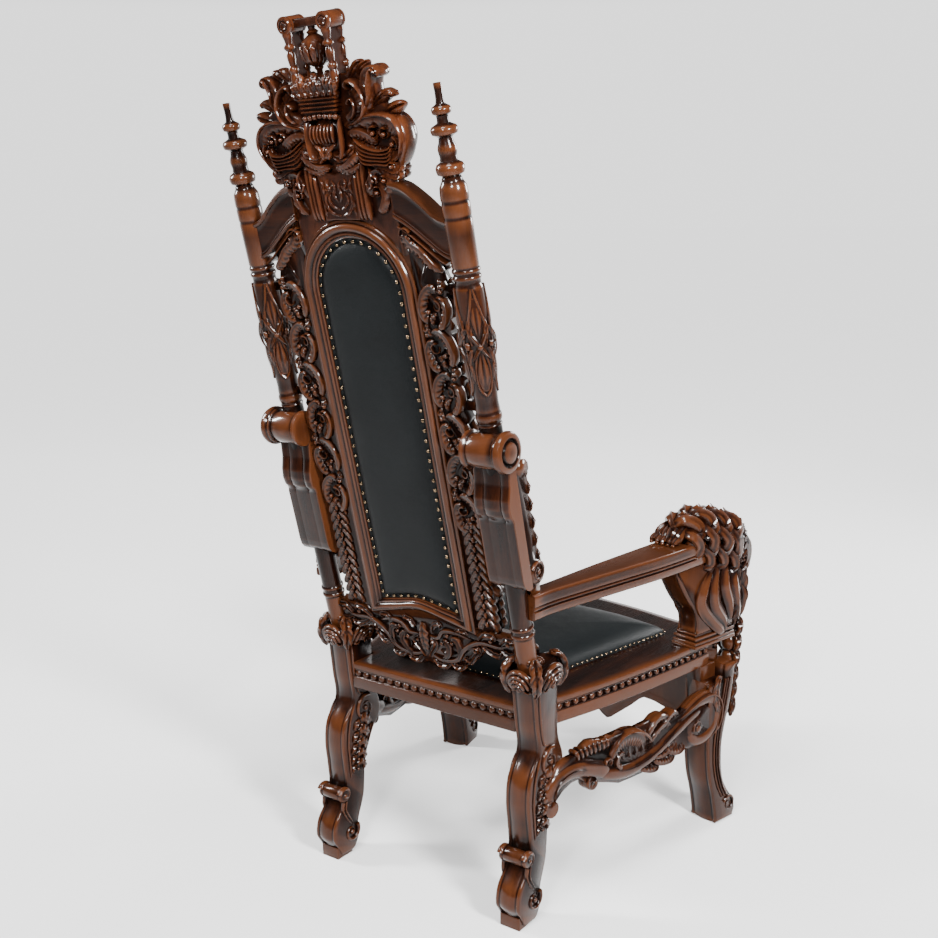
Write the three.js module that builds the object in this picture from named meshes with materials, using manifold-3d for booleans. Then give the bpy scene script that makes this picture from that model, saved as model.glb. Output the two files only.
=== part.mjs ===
// Carved mahogany throne with a tall reclined back, lion arm posts and black leather pads.
// Millimetres, +Z up. The seated person faces -Y, so "left" is +X. The floor is z = 0.
import * as THREE from 'three';
import { mergeVertices } from 'three/addons/utils/BufferGeometryUtils.js';
import Module from 'manifold-3d';

const wasm = await Module();
wasm.setup();

// ---------------------------------------------------------------- driving dimensions
const FIT = 0.3;                    // gap kept between touching pieces
const SLACK = 0.1;                  // edges shorter than this are dropped when pieces are joined
const REAR_FEET_Y = 282.2;          // rear face of the rear feet, from the middle of the plan box
const RECLINE = 12.8;               // lean of the back, degrees
const BACK_FOOT_Y = -204;           // where the leaning back plane meets the floor
const POST_X = 264;                 // middle of each back post
const POST_FOOT_T = 577.3;          // lower end of a back post, measured up the leaning back
const POST_R = 23;                  // plain part of a back post
const SHAFT_R = 25.8;               // post where the crest rail meets it

const LEG_IN = 230.8;               // rear leg, inner and outer faces
const LEG_OUT = 292.6;

const SEAT_TOP = 476;               // seat board
const BOARD_THICK = 14.3;
const RAIL_LOW = 415;               // lower edge of the seat rails
const RAIL_THICK = 30;
const BEAD_Z = 453;                 // middle of the beads on the rails
const BEAD_R = 6.6;
const BEAD_PITCH = 24.5;

const ARM_LOW = 685;
const ARM_TOP = 739;

const FRAME_HALF = 145;             // moulded frame of the back, outer half width
const PANEL_HALF = 108.4;           // leather panel, half width
const ARCH_T = 1387;                // middle of the round top of the frame and panel
const FRET_OUT = 212;               // mean outer edge of the pierced borders

const FRONT_LEG = { x: 397.5, y: -700, turn: 13 };   // middle of a front foot, and its outward turn
const STRETCHER = { x: 298, y: -135, turn: 12.6 };   // rear end of a side stretcher

// ---------------------------------------------------------------- finishes
const wood = (hex, roughness) => new THREE.MeshStandardMaterial({ color: hex, roughness, metalness: 0 });
const mahogany = wood(0x5a2414, 0.32);
const carvedMahogany = wood(0x4a1c10, 0.36);
const leather = wood(0x14181a, 0.42);

// ---------------------------------------------------------------- solids
const vec = (x, y, z) => new THREE.Vector3(x, y, z);
const radians = THREE.MathUtils.degToRad;

/** Turns a closed geometry into a solid that can be joined and cut. */
function solid(geometry) {
  const bare = geometry.clone();
  for (const name of Object.keys(bare.attributes)) {
    if (name !== 'position') bare.deleteAttribute(name);
  }
  const merged = mergeVertices(bare, 1e-3);
  const corners = [];
  for (let i = 0; i < merged.index.count; i += 3) {
    const [a, b, c] = [0, 1, 2].map((k) => merged.index.getX(i + k));
    if (a !== b && b !== c && c !== a) corners.push(a, b, c);
  }
  return new wasm.Manifold(new wasm.Mesh({
    numProp: 3,
    vertProperties: new Float32Array(merged.attributes.position.array),
    triVerts: new Uint32Array(corners),
    tolerance: SLACK,
  }));
}

const fuse = (parts) => parts.reduce((whole, part) => whole.add(part));
const cut = (whole, tools) => tools.reduce((rest, tool) => rest.subtract(tool), whole);

/** The geometry of a solid, mirrored to the other side of the chair when side is -1. */
function shell(body, side = 1) {
  const mesh = body.getMesh();
  const geometry = new THREE.BufferGeometry();
  const place = Float32Array.from(mesh.vertProperties, (v, i) => (i % 3 === 0 ? v * side : v));
  const order = Array.from(mesh.triVerts);
  if (side < 0) {
    for (let i = 0; i < order.length; i += 3) [order[i], order[i + 1]] = [order[i + 1], order[i]];
  }
  geometry.setAttribute('position', new THREE.BufferAttribute(place, 3));
  geometry.setIndex(order);
  geometry.computeVertexNormals();
  return geometry;
}

// Outlines are drawn on one of three boards and given a thickness along the third axis.
const BOARDS = {
  back: new THREE.Matrix4().makeBasis(vec(1, 0, 0), vec(0, 0, 1), vec(0, -1, 0)),   // (x, z), thick to -y
  side: new THREE.Matrix4().makeBasis(vec(0, 1, 0), vec(0, 0, 1), vec(1, 0, 0)),    // (y, z), thick to +x
  plan: new THREE.Matrix4(),                                                        // (x, y), thick to +z
};

/** A board of the given outline between two depths, with a small chamfer all round. */
function board(kind, points, from, to, chamfer = 0, holes = []) {
  const shape = new THREE.Shape(points.map(([a, b]) => new THREE.Vector2(a, b)));
  for (const hole of holes) shape.holes.push(new THREE.Path(hole.map(([a, b]) => new THREE.Vector2(a, b))));
  const [low, high] = kind === 'back' ? [-to, -from] : [from, to];
  const geometry = new THREE.ExtrudeGeometry(shape, {
    depth: high - low - 2 * chamfer,
    bevelEnabled: chamfer > 0,
    bevelThickness: chamfer,
    bevelSize: chamfer,
    bevelOffset: -chamfer,
    bevelSegments: 1,
    curveSegments: 1,
  });
  geometry.translate(0, 0, low + chamfer);
  return solid(geometry.applyMatrix4(BOARDS[kind]));
}

/** Points on a smooth open line through the given ones. */
function smooth(points, steps) {
  return new THREE.SplineCurve(points.map(([a, b]) => new THREE.Vector2(a, b))).getPoints(steps)
    .map((p) => [p.x, p.y]);
}

/** Points on a smooth closed line through the given ones. */
function smoothLoop(points, steps) {
  const curve = new THREE.CatmullRomCurve3(points.map(([a, b]) => vec(a, b, 0)), true, 'centripetal');
  return curve.getPoints(steps).slice(0, -1).map((p) => [p.x, p.y]);
}

/** An ellipse of n points, as an outline or a hole. */
function oval(x, y, rx, ry, n, turn = 0) {
  const [c, s] = [Math.cos(radians(turn)), Math.sin(radians(turn))];
  return Array.from({ length: n }, (_, i) => {
    const [a, b] = [rx * Math.cos((2 * Math.PI * i) / n), ry * Math.sin((2 * Math.PI * i) / n)];
    return [x + a * c - b * s, y + a * s + b * c];
  });
}

const mirrorX = (points) => points.map(([x, ...rest]) => [-x, ...rest]);

/** A half outline and its mirror image, without doubled points on the middle line. */
function both(points) {
  const loop = [...points, ...mirrorX(points).reverse()];
  return loop.filter((p, i) => {
    const next = loop[(i + 1) % loop.length];
    return Math.hypot(p[0] - next[0], p[1] - next[1]) > 0.01;
  });
}

/** A rounded lump: a sphere drawn out to three half sizes, then turned about x. */
function lump(at, size, tilt = 0, n = 6) {
  const ball = new THREE.SphereGeometry(1, n, Math.max(4, n - 3)).rotateX(Math.PI / 2);
  return solid(ball.scale(...size).rotateX(radians(tilt)).translate(...at));
}

/** A round bar along one axis, centred at a point. */
function bar(axis, at, radius, length, n = 10) {
  const rod = new THREE.CylinderGeometry(radius, radius, length, n);
  if (axis === 'x') rod.rotateZ(Math.PI / 2);
  if (axis === 'z') rod.rotateX(Math.PI / 2);
  return solid(rod.translate(...at));
}

const block = (low, high) => solid(new THREE.BoxGeometry(high[0] - low[0], high[1] - low[1], high[2] - low[2])
  .translate((low[0] + high[0]) / 2, (low[1] + high[1]) / 2, (low[2] + high[2]) / 2));

/** A turned piece: [radius, height] pairs from the bottom up, round a vertical axis. */
function turned(profile, n = 10) {
  const points = [[0, profile[0][1]], ...profile, [0, profile.at(-1)[1]]];
  const lathe = new THREE.LatheGeometry(points.map(([r, z]) => new THREE.Vector2(r, z)), n);
  return solid(lathe.rotateX(Math.PI / 2));
}

/**
 * A carved stem: a tapering rod along a smooth line of points, closed at both ends.
 * wide and thick give its half sizes at u from 0 to 1, across and along the given normal.
 */
function stem(points, wide, thick, { normal = vec(0, 1, 0), sides = 4, steps = 5 } = {}) {
  const curve = new THREE.CatmullRomCurve3(points.map((p) => vec(...p)));
  const places = [];
  for (let i = 0; i <= steps; i += 1) {
    const u = i / steps;
    const at = curve.getPoint(u);
    const across = curve.getTangent(u).cross(normal).normalize();
    for (let k = 0; k < sides; k += 1) {
      const angle = (2 * Math.PI * (k + 0.5)) / sides;
      const p = at.clone().addScaledVector(across, wide(u) * Math.cos(angle));
      places.push(p.addScaledVector(normal, thick(u) * Math.sin(angle)));
    }
  }
  const ends = [places.length, places.length + 1];
  places.push(curve.getPoint(0), curve.getPoint(1));
  const faces = [];
  for (let k = 0; k < sides; k += 1) {
    const next = (k + 1) % sides;
    for (let i = 0; i < steps; i += 1) {
      const [a, b] = [i * sides + k, i * sides + next];
      faces.push(a, a + sides, b, b, a + sides, b + sides);
    }
    faces.push(ends[0], k, next, ends[1], steps * sides + next, steps * sides + k);
  }
  const geometry = new THREE.BufferGeometry();
  geometry.setAttribute('position', new THREE.Float32BufferAttribute(places.flatMap((p) => p.toArray()), 3));
  geometry.setIndex(faces);
  return solid(geometry);
}

const taper = (most, least = 1.5) => (u) => least + (most - least) * Math.sin(Math.PI * Math.min(u + 0.12, 1));
const fade = (most, least = 1.5) => (u) => most + (least - most) * u;

/** A leaf or scroll in relief on the back: a stem through (x, t) points at depth n, both faces alike. */
const frond = (points, width, n, depth, extra) =>
  stem(points.map(([x, t]) => [x, n, t]), taper(width), taper(depth, 3), extra);

// ---------------------------------------------------------------- scene groups
const throne = new THREE.Group();
throne.position.y = REAR_FEET_Y;

const back = new THREE.Group();     // local x across, y to the rear, z up the slope
back.position.y = BACK_FOOT_Y;
back.rotation.x = radians(-RECLINE);
throne.add(back);

function place(parent, name, body, finish, side = 1) {
  const mesh = new THREE.Mesh(shell(body, side), finish.clone());
  mesh.name = name;
  parent.add(mesh);
}

const SIDES = [['right', -1], ['left', 1]];

/** A pair of like pieces, one for each side of the chair. */
function pair(parentOf, name, body, finish) {
  for (const [word, side] of SIDES) place(parentOf(side), `${name}_${word}`, body, finish, side);
}

const move = (body, matrix) => solid(shell(body).applyMatrix4(matrix));
const shift = (x, y, z) => new THREE.Matrix4().makeTranslation(x, y, z);

// The leaning frame of the back, and moves into it and out of it.
const leaning = shift(0, BACK_FOOT_Y, 0).multiply(new THREE.Matrix4().makeRotationX(radians(-RECLINE)));
const inBack = (body) => move(body, leaning.clone().invert());
const outOfBack = (body) => move(body, leaning);

// ---------------------------------------------------------------- rear legs
function rearLeg() {
  const rear = smooth([[-2, 30], [12, 57], [5, 93], [-20, 126], [-38, 170], [-36, 220], [-31, 278],
    [-40, 330], [-74, 380], [-68, 440], [-60, 519], [-59, 580]], 17);
  const front = smooth([[-144, 596], [-146, 496], [-148, 403], [-166, 350], [-161, 315], [-134, 280],
    [-108, 220], [-102, 170], [-96, 130], [-78, 85], [-72, 60], [-74, 35], [-60, 10]], 15);
  const shaft = board('side', [...rear, ...front, [-52, 8]], LEG_IN, LEG_OUT, 5);
  const foot = block([LEG_IN + 3, -52, 0], [LEG_OUT - 8, 0, 29]);
  const width = LEG_OUT - LEG_IN;
  const middle = (LEG_IN + LEG_OUT) / 2;
  const scrolls = [
    bar('x', [middle, -26, 158], 17, width + 6),         // rolled collar
    bar('x', [middle, -60, 52], 24, width + 5),          // foot volute
    bar('x', [middle, -138, 333], 30, width + 5),        // knee volute
  ];
  const leaves = [
    lump([middle, -42, 550], [27, 24, 38], 14),
    lump([LEG_OUT + 6, -100, 550], [24, 32, 38]),
    lump([LEG_IN - 3, -104, 544], [20, 30, 34]),
    lump([middle, -154, 548], [28, 24, 36], -10),
  ];
  const above = outOfBack(block([0, -200, POST_FOOT_T - FIT], [400, 200, 900]));
  return cut(fuse([shaft, foot, ...scrolls, ...leaves]), [above]);
}
pair(() => throne, 'rear_leg', rearLeg(), carvedMahogany);

// ---------------------------------------------------------------- back posts
const BOLSTER = { t: 1084, n: 20, r: 36 };
const BLOCK_HALF = 26;
const postTool = bar('z', [POST_X, 0, 1200], 26.8 + FIT, 1500, 12);

function backPost() {
  const ring = (t, r, h = 12) => [[POST_R, t - h / 2], [r, t], [POST_R, t + h / 2]];
  const bulb = (t, r, h, neck) => [[neck, t - h], [r, t - h * 0.35], [r, t + h * 0.35], [neck, t + h]];
  const profile = [
    [POST_R, POST_FOOT_T], ...ring(663, 25.5), ...ring(682, 25.5),
    [POST_R, 1128], [25.3, 1143], [24.2, 1162], [24.2, 1215],
    [28.5, 1304], [24.6, 1400], [26.8, 1427], [SHAFT_R, 1440], [26.3, 1560], [25, 1588],
    ...bulb(1617, 26.4, 16, 18.5), [15.5, 1640], [17.4, 1652],
    ...bulb(1684, 24.7, 13, 12), ...bulb(1718, 17.8, 11, 9), [7.2, 1765],
  ];
  const stick = move(turned(profile, 8), shift(POST_X, 0, 0));
  const middle = block([POST_X - BLOCK_HALF, -23, 790], [POST_X + BLOCK_HALF, 4, 1100]);
  const rear = smooth([[18, 1050], [25, 1012], [33, 986], [36, 966], [28, 945], [27, 880], [27, 806]], 6);
  const console = board('side', [...rear, [22, 788], [-2, 780], [-2, 1050]], POST_X - 44, POST_X + 43);
  const flange = POST_X + 45;
  const bolster = [
    bar('x', [POST_X - 3, BOLSTER.n, BOLSTER.t], BOLSTER.r, 90, 12),
    bar('x', [flange, BOLSTER.n, BOLSTER.t], BOLSTER.r + 6, 14, 12),
    bar('x', [flange + 8, BOLSTER.n, BOLSTER.t], 23, 6, 10),
    bar('x', [POST_X - 40, BOLSTER.n, BOLSTER.t], BOLSTER.r + 3, 10, 12),
  ];
  const reeds = [-24, 2, 26].map((dx, i) =>
    stem([[POST_X + dx, 24, 1040], [POST_X + dx, 33, 990], [POST_X + dx, 37, 966], [POST_X + dx, 30, 942]],
      () => (i === 1 ? 13 : 8), fade(6, 9), { steps: 3 }));
  return fuse([stick, middle, console, ...bolster, ...reeds]);
}
pair(() => back, 'back_post', backPost(), mahogany);

// ---------------------------------------------------------------- scroll brackets above the arms
const armTool = (gap) => block([200, -900, ARM_LOW - gap], [500, 200, ARM_TOP + gap]);

function armScroll() {
  const front = smooth([[-27, 1062], [-46, 1040], [-50, 1000], [-43, 962], [-45, 930], [-52, 900],
    [-44, 880], [-52, 858], [-46, 838], [-56, 822], [-56, 800], [-48, 780], [-40, 766]], 12);
  const strip = board('side', [...front, [-36, 735], [-10, 735], [-10, 1062]], POST_X - 30, POST_X + 32);
  const volutes = [
    bar('x', [POST_X, -27, 803], 25, 84, 12),
    bar('x', [POST_X, -30, 1030], 19, 80),
  ];
  const post = block([POST_X - BLOCK_HALF - FIT, -23 - FIT, 600], [POST_X + BLOCK_HALF + FIT, 80, 1200]);
  const console = block([POST_X - 60, -2 - FIT, 600], [POST_X + 60, 80, 1200]);
  const shaft = bar('z', [POST_X, 0, 800], SHAFT_R + FIT, 1500, 12);
  const bolster = bar('x', [POST_X, BOLSTER.n, BOLSTER.t], BOLSTER.r + 7, 140, 12);
  return cut(fuse([strip, ...volutes]), [post, console, shaft, bolster, inBack(armTool(FIT))]);
}
pair(() => back, 'arm_scroll', armScroll(), carvedMahogany);

// ---------------------------------------------------------------- moulded frame and leather panel of the back
function archOutline(half, low, lift, n = 12) {
  const foot = smooth([[-half, low], [-half * 0.6, low + lift * 0.45], [0, low + lift],
    [half * 0.6, low + lift * 0.45], [half, low]], 8);
  const arch = Array.from({ length: n + 1 }, (_, i) => {
    const angle = (Math.PI * i) / n;
    return [half * Math.cos(angle), ARCH_T + half * Math.sin(angle)];
  });
  return [...foot, ...arch];
}
const PANEL_LOW = 681;
const FRAME_LOW = 641;

function backFrame() {
  const outer = archOutline(FRAME_HALF, FRAME_LOW, 33, 14);
  const hole = archOutline(PANEL_HALF + FIT, PANEL_LOW - FIT, 19);
  const base = board('back', outer, -24, 10, 0, [hole]);
  const bead = board('back', archOutline(FRAME_HALF - 7, FRAME_LOW + 7, 31, 14), -26, 17, 3,
    [archOutline(FRAME_HALF - 25, PANEL_LOW - 14, 24)]);
  return base.add(bead);
}
place(back, 'back_frame', backFrame(), mahogany);

const panel = board('back', archOutline(PANEL_HALF, PANEL_LOW, 19), -16, 8, 5);
place(back, 'back_panel', panel, leather);

// ---------------------------------------------------------------- arched crest rails
const CREST_SIDE = 126;
const railTop = smooth([[CREST_SIDE, 1602], [155, 1593], [190, 1568], [222, 1540], [262, 1528]], 8);
const railLow = smooth([[CREST_SIDE, 1532], [160, 1512], [196, 1484], [225, 1462], [262, 1448]], 8);

function crestRail() {
  const outline = [...railTop.map(([x, t]) => [x + FIT, t]), ...railLow.map(([x, t]) => [x + FIT, t]).reverse()];
  const arch = bar('y', [0, 0, ARCH_T], FRAME_HALF + 2 * FIT, 200, 48);
  return cut(board('back', outline, -22, 16, 4), [postTool, arch]);
}
pair(() => back, 'crest_rail', crestRail(), mahogany);

// ---------------------------------------------------------------- carved crest
function crest() {
  const edge = smooth([[136, 1612], [160, 1626], [176, 1652], [186, 1690], [176, 1722]], 5);
  const tips = [[172, 1738], [158, 1738], [152, 1754], [138, 1758], [146, 1786], [132, 1802], [114, 1790],
    [102, 1815], [84, 1800], [66, 1814], [40, 1806]];
  const half = [[CREST_SIDE, 1500], [CREST_SIDE, 1608], ...edge, ...tips];
  const body = board('back', both(half), -17, 12);
  const arch = bar('y', [0, 0, ARCH_T], FRAME_HALF + 2 * FIT, 200, 48);
  const shield = board('back', both([[0, 1548], [26, 1556], [42, 1582], [43, 1628]]), -23, 21, 4);
  const wings = [-1, 1].flatMap((s) => {
    const m = (points) => points.map(([x, t]) => [x * s, t]);
    return [
      frond(m([[44, 1742], [90, 1748], [140, 1724], [160, 1690], [140, 1668], [120, 1684]]), 15, 2, 25,
        { steps: 6 }),
      frond(m([[60, 1700], [98, 1706], [116, 1680], [150, 1640], [136, 1622]]), 13, 2, 23),
      frond(m([[44, 1770], [78, 1772], [102, 1788], [120, 1778], [112, 1760]]), 13, 2, 24),
      frond(m([[84, 1534], [88, 1580], [112, 1600], [110, 1570], [98, 1574]]), 12, 2, 21),
      ...[56, 68].map((x) => stem([[x * s, 1, 1526], [x * s, 1, 1628]], () => 5, () => 23, { steps: 1 })),
    ];
  });
  const crown = [1745, 1755, 1765].map((t, i) => stem([[-42 - i, 1, t], [42 + i, 1, t]], () => 5.5, () => 28,
    { steps: 1, sides: 6 }));
  const points = [-44, -22, 0, 22, 44].map((x) =>
    stem([[x * 0.95, 1, 1768], [x * 1.1, 1, 1800], [x * 1.2, 1, 1822 - Math.abs(x) * 0.3]], fade(11, 2),
      fade(23, 7), { steps: 3 }));
  const helmet = lump([0, 0, 1690], [34, 30, 42], 0, 8);
  const rolls = [-48, 48].flatMap((x) => [
    bar('y', [x, 0, 1890], 16.5, 60, 10),
    ...[0, 1].map(() => turned([[9, 1800], [9, 1830], [12, 1838], [8, 1848], [12, 1866],
      [9, 1880]], 5)).map((column, i) => move(column, shift(x, i ? 15 : -15, 0))),
  ]);
  const link = block([-48, -12, 1882], [48, 12, 1899]);
  const urn = turned([[6, 1798], [7, 1822], [24, 1843], [24, 1864], [12, 1884]], 8);
  return cut(fuse([body, shield, ...wings, ...crown, ...points, helmet, ...rolls, link, urn]), [arch]);
}
place(back, 'crest', crest(), carvedMahogany);

// ---------------------------------------------------------------- pierced borders beside the frame
function fretwork() {
  const low = 655;
  const high = 1500;
  const inside = FRAME_HALF + 2 * FIT;
  const lobe = 66;                                     // length of one leaf of the border
  const outer = [];
  for (let t = low; t < 1452; t += lobe / 2.6) {
    outer.push([FRET_OUT - 3 + 7 * Math.sin((2 * Math.PI * t) / lobe) - 14 * Math.max(0, (760 - t) / 105), t]);
  }
  const top = railLow.filter(([x]) => x < 224).map(([x, t]) => [x, t - FIT - 1]).reverse();
  const outline = [[inside - 4, low], ...outer, ...top, [inside - 4, high]];
  const holes = [];
  for (let i = 0; i < 10; i += 1) {
    holes.push(oval(i % 2 ? 170 : 186, 738 + i * lobe, 10, 20, 6, i % 2 ? 14 : -14));
  }
  const wave = (phase) => Array.from({ length: 27 }, (_, i) => {
    const t = low + 14 + i * 30;
    return [179 + 20 * Math.sin((Math.PI * t) / lobe + phase), -8, t];
  });
  const vine = stem(wave(0.4), () => 8, () => 24, { steps: 20 });
  const links = [752, 1010, 1165, 1395].map((t) => block([FRET_OUT - 10, -14, t - 9], [POST_X, 2, t + 9]));
  const arch = bar('y', [0, 0, ARCH_T], inside, 200, 48);
  const beyond = block([0, -60, 1380], [CREST_SIDE - 1, 60, 1700]);
  const frameSide = block([0, -60, 500], [inside, 60, ARCH_T]);
  const post = [postTool, block([POST_X - 46, -60, 700], [POST_X + 80, 80, 1062])];
  const bolster = bar('x', [POST_X, BOLSTER.n, BOLSTER.t], BOLSTER.r + 8, 140, 12);
  const above = board('back', [...railTop, ...[...railLow].reverse().map(([x, t]) => [x, t - FIT])], -60, 60);
  const body = board('back', outline, -20, 6, 0, holes);
  return cut(fuse([body, vine, ...links]), [arch, beyond, frameSide, ...post, bolster, above]);
}
pair(() => back, 'fretwork', fretwork(), carvedMahogany);

// ---------------------------------------------------------------- pierced apron under the back
function backApron() {
  const low = smooth([[244, 604], [222, 612], [205, 596], [176, 606], [150, 600], [128, 578], [108, 566],
    [84, 538], [56, 544], [30, 534], [0, 541]], 18);
  const high = smooth([[0, 672], [FRAME_HALF * 0.6, 654], [FRAME_HALF, 639]], 6);
  const outline = both([...high, [200, 652], [244, 654], ...low]);
  const holes = [-1, 1].flatMap((s) => [[34, 624, 15, 16, 20], [84, 606, 13, 18, -30], [132, 618, 9, 14, 40],
    [48, 578, 12, 9, 10], [196, 628, 12, 9, 10]].map(([x, t, rx, ry, turn]) => oval(x * s, t, rx, ry, 6, turn * s)));
  const scrolls = [-1, 1].flatMap((s) => [
    [[8, 560], [50, 556], [92, 576], [112, 612], [160, 628], [210, 616]],
    [[10, 596], [44, 606], [60, 636], [104, 636]],
  ].map((points) => frond(points.map(([x, t]) => [x * s, t]), 9, -7, 19, { steps: 7 })));
  const frameTool = board('back', archOutline(FRAME_HALF + FIT, FRAME_LOW - FIT, 33, 8), -60, 60);
  const posts = [-1, 1].map((s) => bar('z', [POST_X * s, 0, 640], POST_R + 3, 400, 12));
  const frets = [-1, 1].map((s) => block([s > 0 ? 145 : -260, -60, 655 - FIT], [s > 0 ? 260 : -145, 60, 760]));
  return cut(fuse([board('back', outline, -20, 6, 0, holes), ...scrolls]), [frameTool, ...posts, ...frets]);
}
place(back, 'back_apron', backApron(), carvedMahogany);

// ---------------------------------------------------------------- seat frame
const LEG_FRONT = -150;
const REAR_EDGE = -73;
const sideLine = smooth([[279, -159], [317, -281], [350, -416], [379, -555], [401, -693]], 6);
const frontLine = smooth([[401, -693], [388, -727], [330, -745], [267, -756], [140, -788], [0, -812]], 5);

/** The seat's outline, drawn in by an amount all round, for one half. */
function seatHalf(inset) {
  const side = sideLine.map(([x, y]) => [x - inset, y]);
  const front = frontLine.slice(1).map(([x, y]) => [x - inset * (x / 401), y + inset]);
  return [...side, ...front];
}

function seatBoard() {
  const half = [[LEG_IN - FIT, REAR_EDGE], [LEG_IN - FIT, LEG_FRONT], [279, LEG_FRONT], ...seatHalf(0)];
  return board('plan', both(half), SEAT_TOP - BOARD_THICK, SEAT_TOP, 2);
}
const legRoom = (s) => block(s > 0 ? [LEG_IN - FIT, -149.6, 300] : [-LEG_OUT - 40, -149.6, 300],
  s > 0 ? [LEG_OUT + 40, 20, 600] : [-LEG_IN + FIT, 20, 600]);
const supportRoom = [-1, 1].map(legRoom);
place(throne, 'seat_board', cut(seatBoard(), supportRoom), mahogany);

/** Beads evenly spaced along a line of plan points. */
function beads(line) {
  const curve = new THREE.CatmullRomCurve3(line.map(([x, y]) => vec(x, y, BEAD_Z)));
  const count = Math.floor(curve.getLength() / BEAD_PITCH);
  return curve.getSpacedPoints(count).slice(1, -1).map((p) => solid(new THREE.OctahedronGeometry(BEAD_R)
    .rotateZ(0.4).translate(p.x, p.y, p.z)));
}

/** A rail of the seat: a plain lower band under a channel of beads. */
function rail(outline, channel, line) {
  const band = board('plan', outline, RAIL_LOW, BEAD_Z - 10);
  const upper = board('plan', channel, BEAD_Z - 12, SEAT_TOP - BOARD_THICK - FIT);
  return fuse([band, upper, ...beads(line)]);
}

const CHANNEL = 6;
function sideRail() {
  const line = sideLine.filter(([, y]) => y > -690);
  const strip = (out) => [...line.map(([x, y]) => [x - out, y]),
    ...line.map(([x, y]) => [x - RAIL_THICK, y]).reverse()];
  return cut(rail(strip(0), strip(CHANNEL), line.map(([x, y]) => [x - CHANNEL, y])), [legRoom(1)]);
}
pair(() => throne, 'side_rail', sideRail(), mahogany);

function rearRail() {
  const strip = (out) => [[-LEG_IN + FIT, REAR_EDGE - out], [-LEG_IN + FIT, REAR_EDGE - RAIL_THICK],
    [LEG_IN - FIT, REAR_EDGE - RAIL_THICK], [LEG_IN - FIT, REAR_EDGE - out]];
  return rail(strip(0), strip(CHANNEL), [[-LEG_IN, REAR_EDGE - CHANNEL], [LEG_IN, REAR_EDGE - CHANNEL]]);
}
place(throne, 'rear_rail', rearRail(), mahogany);

function frontRail() {
  const line = frontLine.slice(1);
  const across = (half) => [...half, ...mirrorX(half).reverse().slice(1)];
  const cornerY = -693 - FIT;
  const strip = (out) => [
    ...across([[400 - out, cornerY], ...line.map(([x, y]) => [x - out * (x / 401), y + out])]),
    ...across([[366, cornerY], ...line.map(([x, y]) => [x * 0.92, y + RAIL_THICK])]).reverse(),
  ];
  return rail(strip(0), strip(CHANNEL), across(line).map(([x, y]) => [x, y + CHANNEL]));
}
place(throne, 'front_rail', frontRail(), mahogany);

// ---------------------------------------------------------------- seat cushion
function cushion() {
  const plan = (k) => smoothLoop(both([[0, -178], [150, -176], [184, -186], [236, -400], [286, -628],
    [272, -656], [140, -688]]).map(([x, y]) => [x * k, -430 + (y + 430) * k]), 18);
  const layers = [[1, SEAT_TOP + FIT, SEAT_TOP + 10, 3], [0.93, SEAT_TOP + 9, SEAT_TOP + 27, 9]];
  return fuse(layers.map(([k, low, high, round]) => board('plan', plan(k), low, high, round)));
}
place(throne, 'seat_cushion', cushion(), leather);

// ---------------------------------------------------------------- arms
const LION = (side) => {
  const group = new THREE.Group();
  group.position.set(FRONT_LEG.x * side, FRONT_LEG.y, 0);
  group.rotation.z = radians(FRONT_LEG.turn * side);
  throne.add(group);
  return group;
};
const lionGroups = { '-1': LION(-1), 1: LION(1) };

/** Puts a body drawn about a front foot into the chair, on the left side. */
const fromFoot = (body) => move(body, shift(FRONT_LEG.x, FRONT_LEG.y, 0)
  .multiply(new THREE.Matrix4().makeRotationZ(radians(FRONT_LEG.turn))));
const ARM_END = 100;                // front end of the arm, behind the middle of the front foot

function arm() {
  const inner = smooth([[258, -40], [268, -126], [284, -300], [300, -440], [318, -600]], 6);
  const outer = smooth([[306, -40], [312, -120], [354, -304], [387, -451], [410, -600]], 6);
  const body = board('plan', [...inner, ...outer.reverse()], ARM_LOW, ARM_TOP, 5);
  const line = outer.filter(([, y]) => y < -110 && y > -560);
  const flute = stem(line.map(([x, y]) => [x + 3, y, 712]), () => 8, () => 7, { normal: vec(1, 0, 0), steps: 4 });
  const post = outOfBack(bar('z', [POST_X, 0, 800], 25.6 + FIT, 1500, 24));
  const headRoom = fromFoot(block([-200, -300, 500], [200, ARM_END, 900]));
  return cut(body, [flute, post, headRoom]);
}
pair(() => throne, 'arm', arm(), mahogany);

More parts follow.
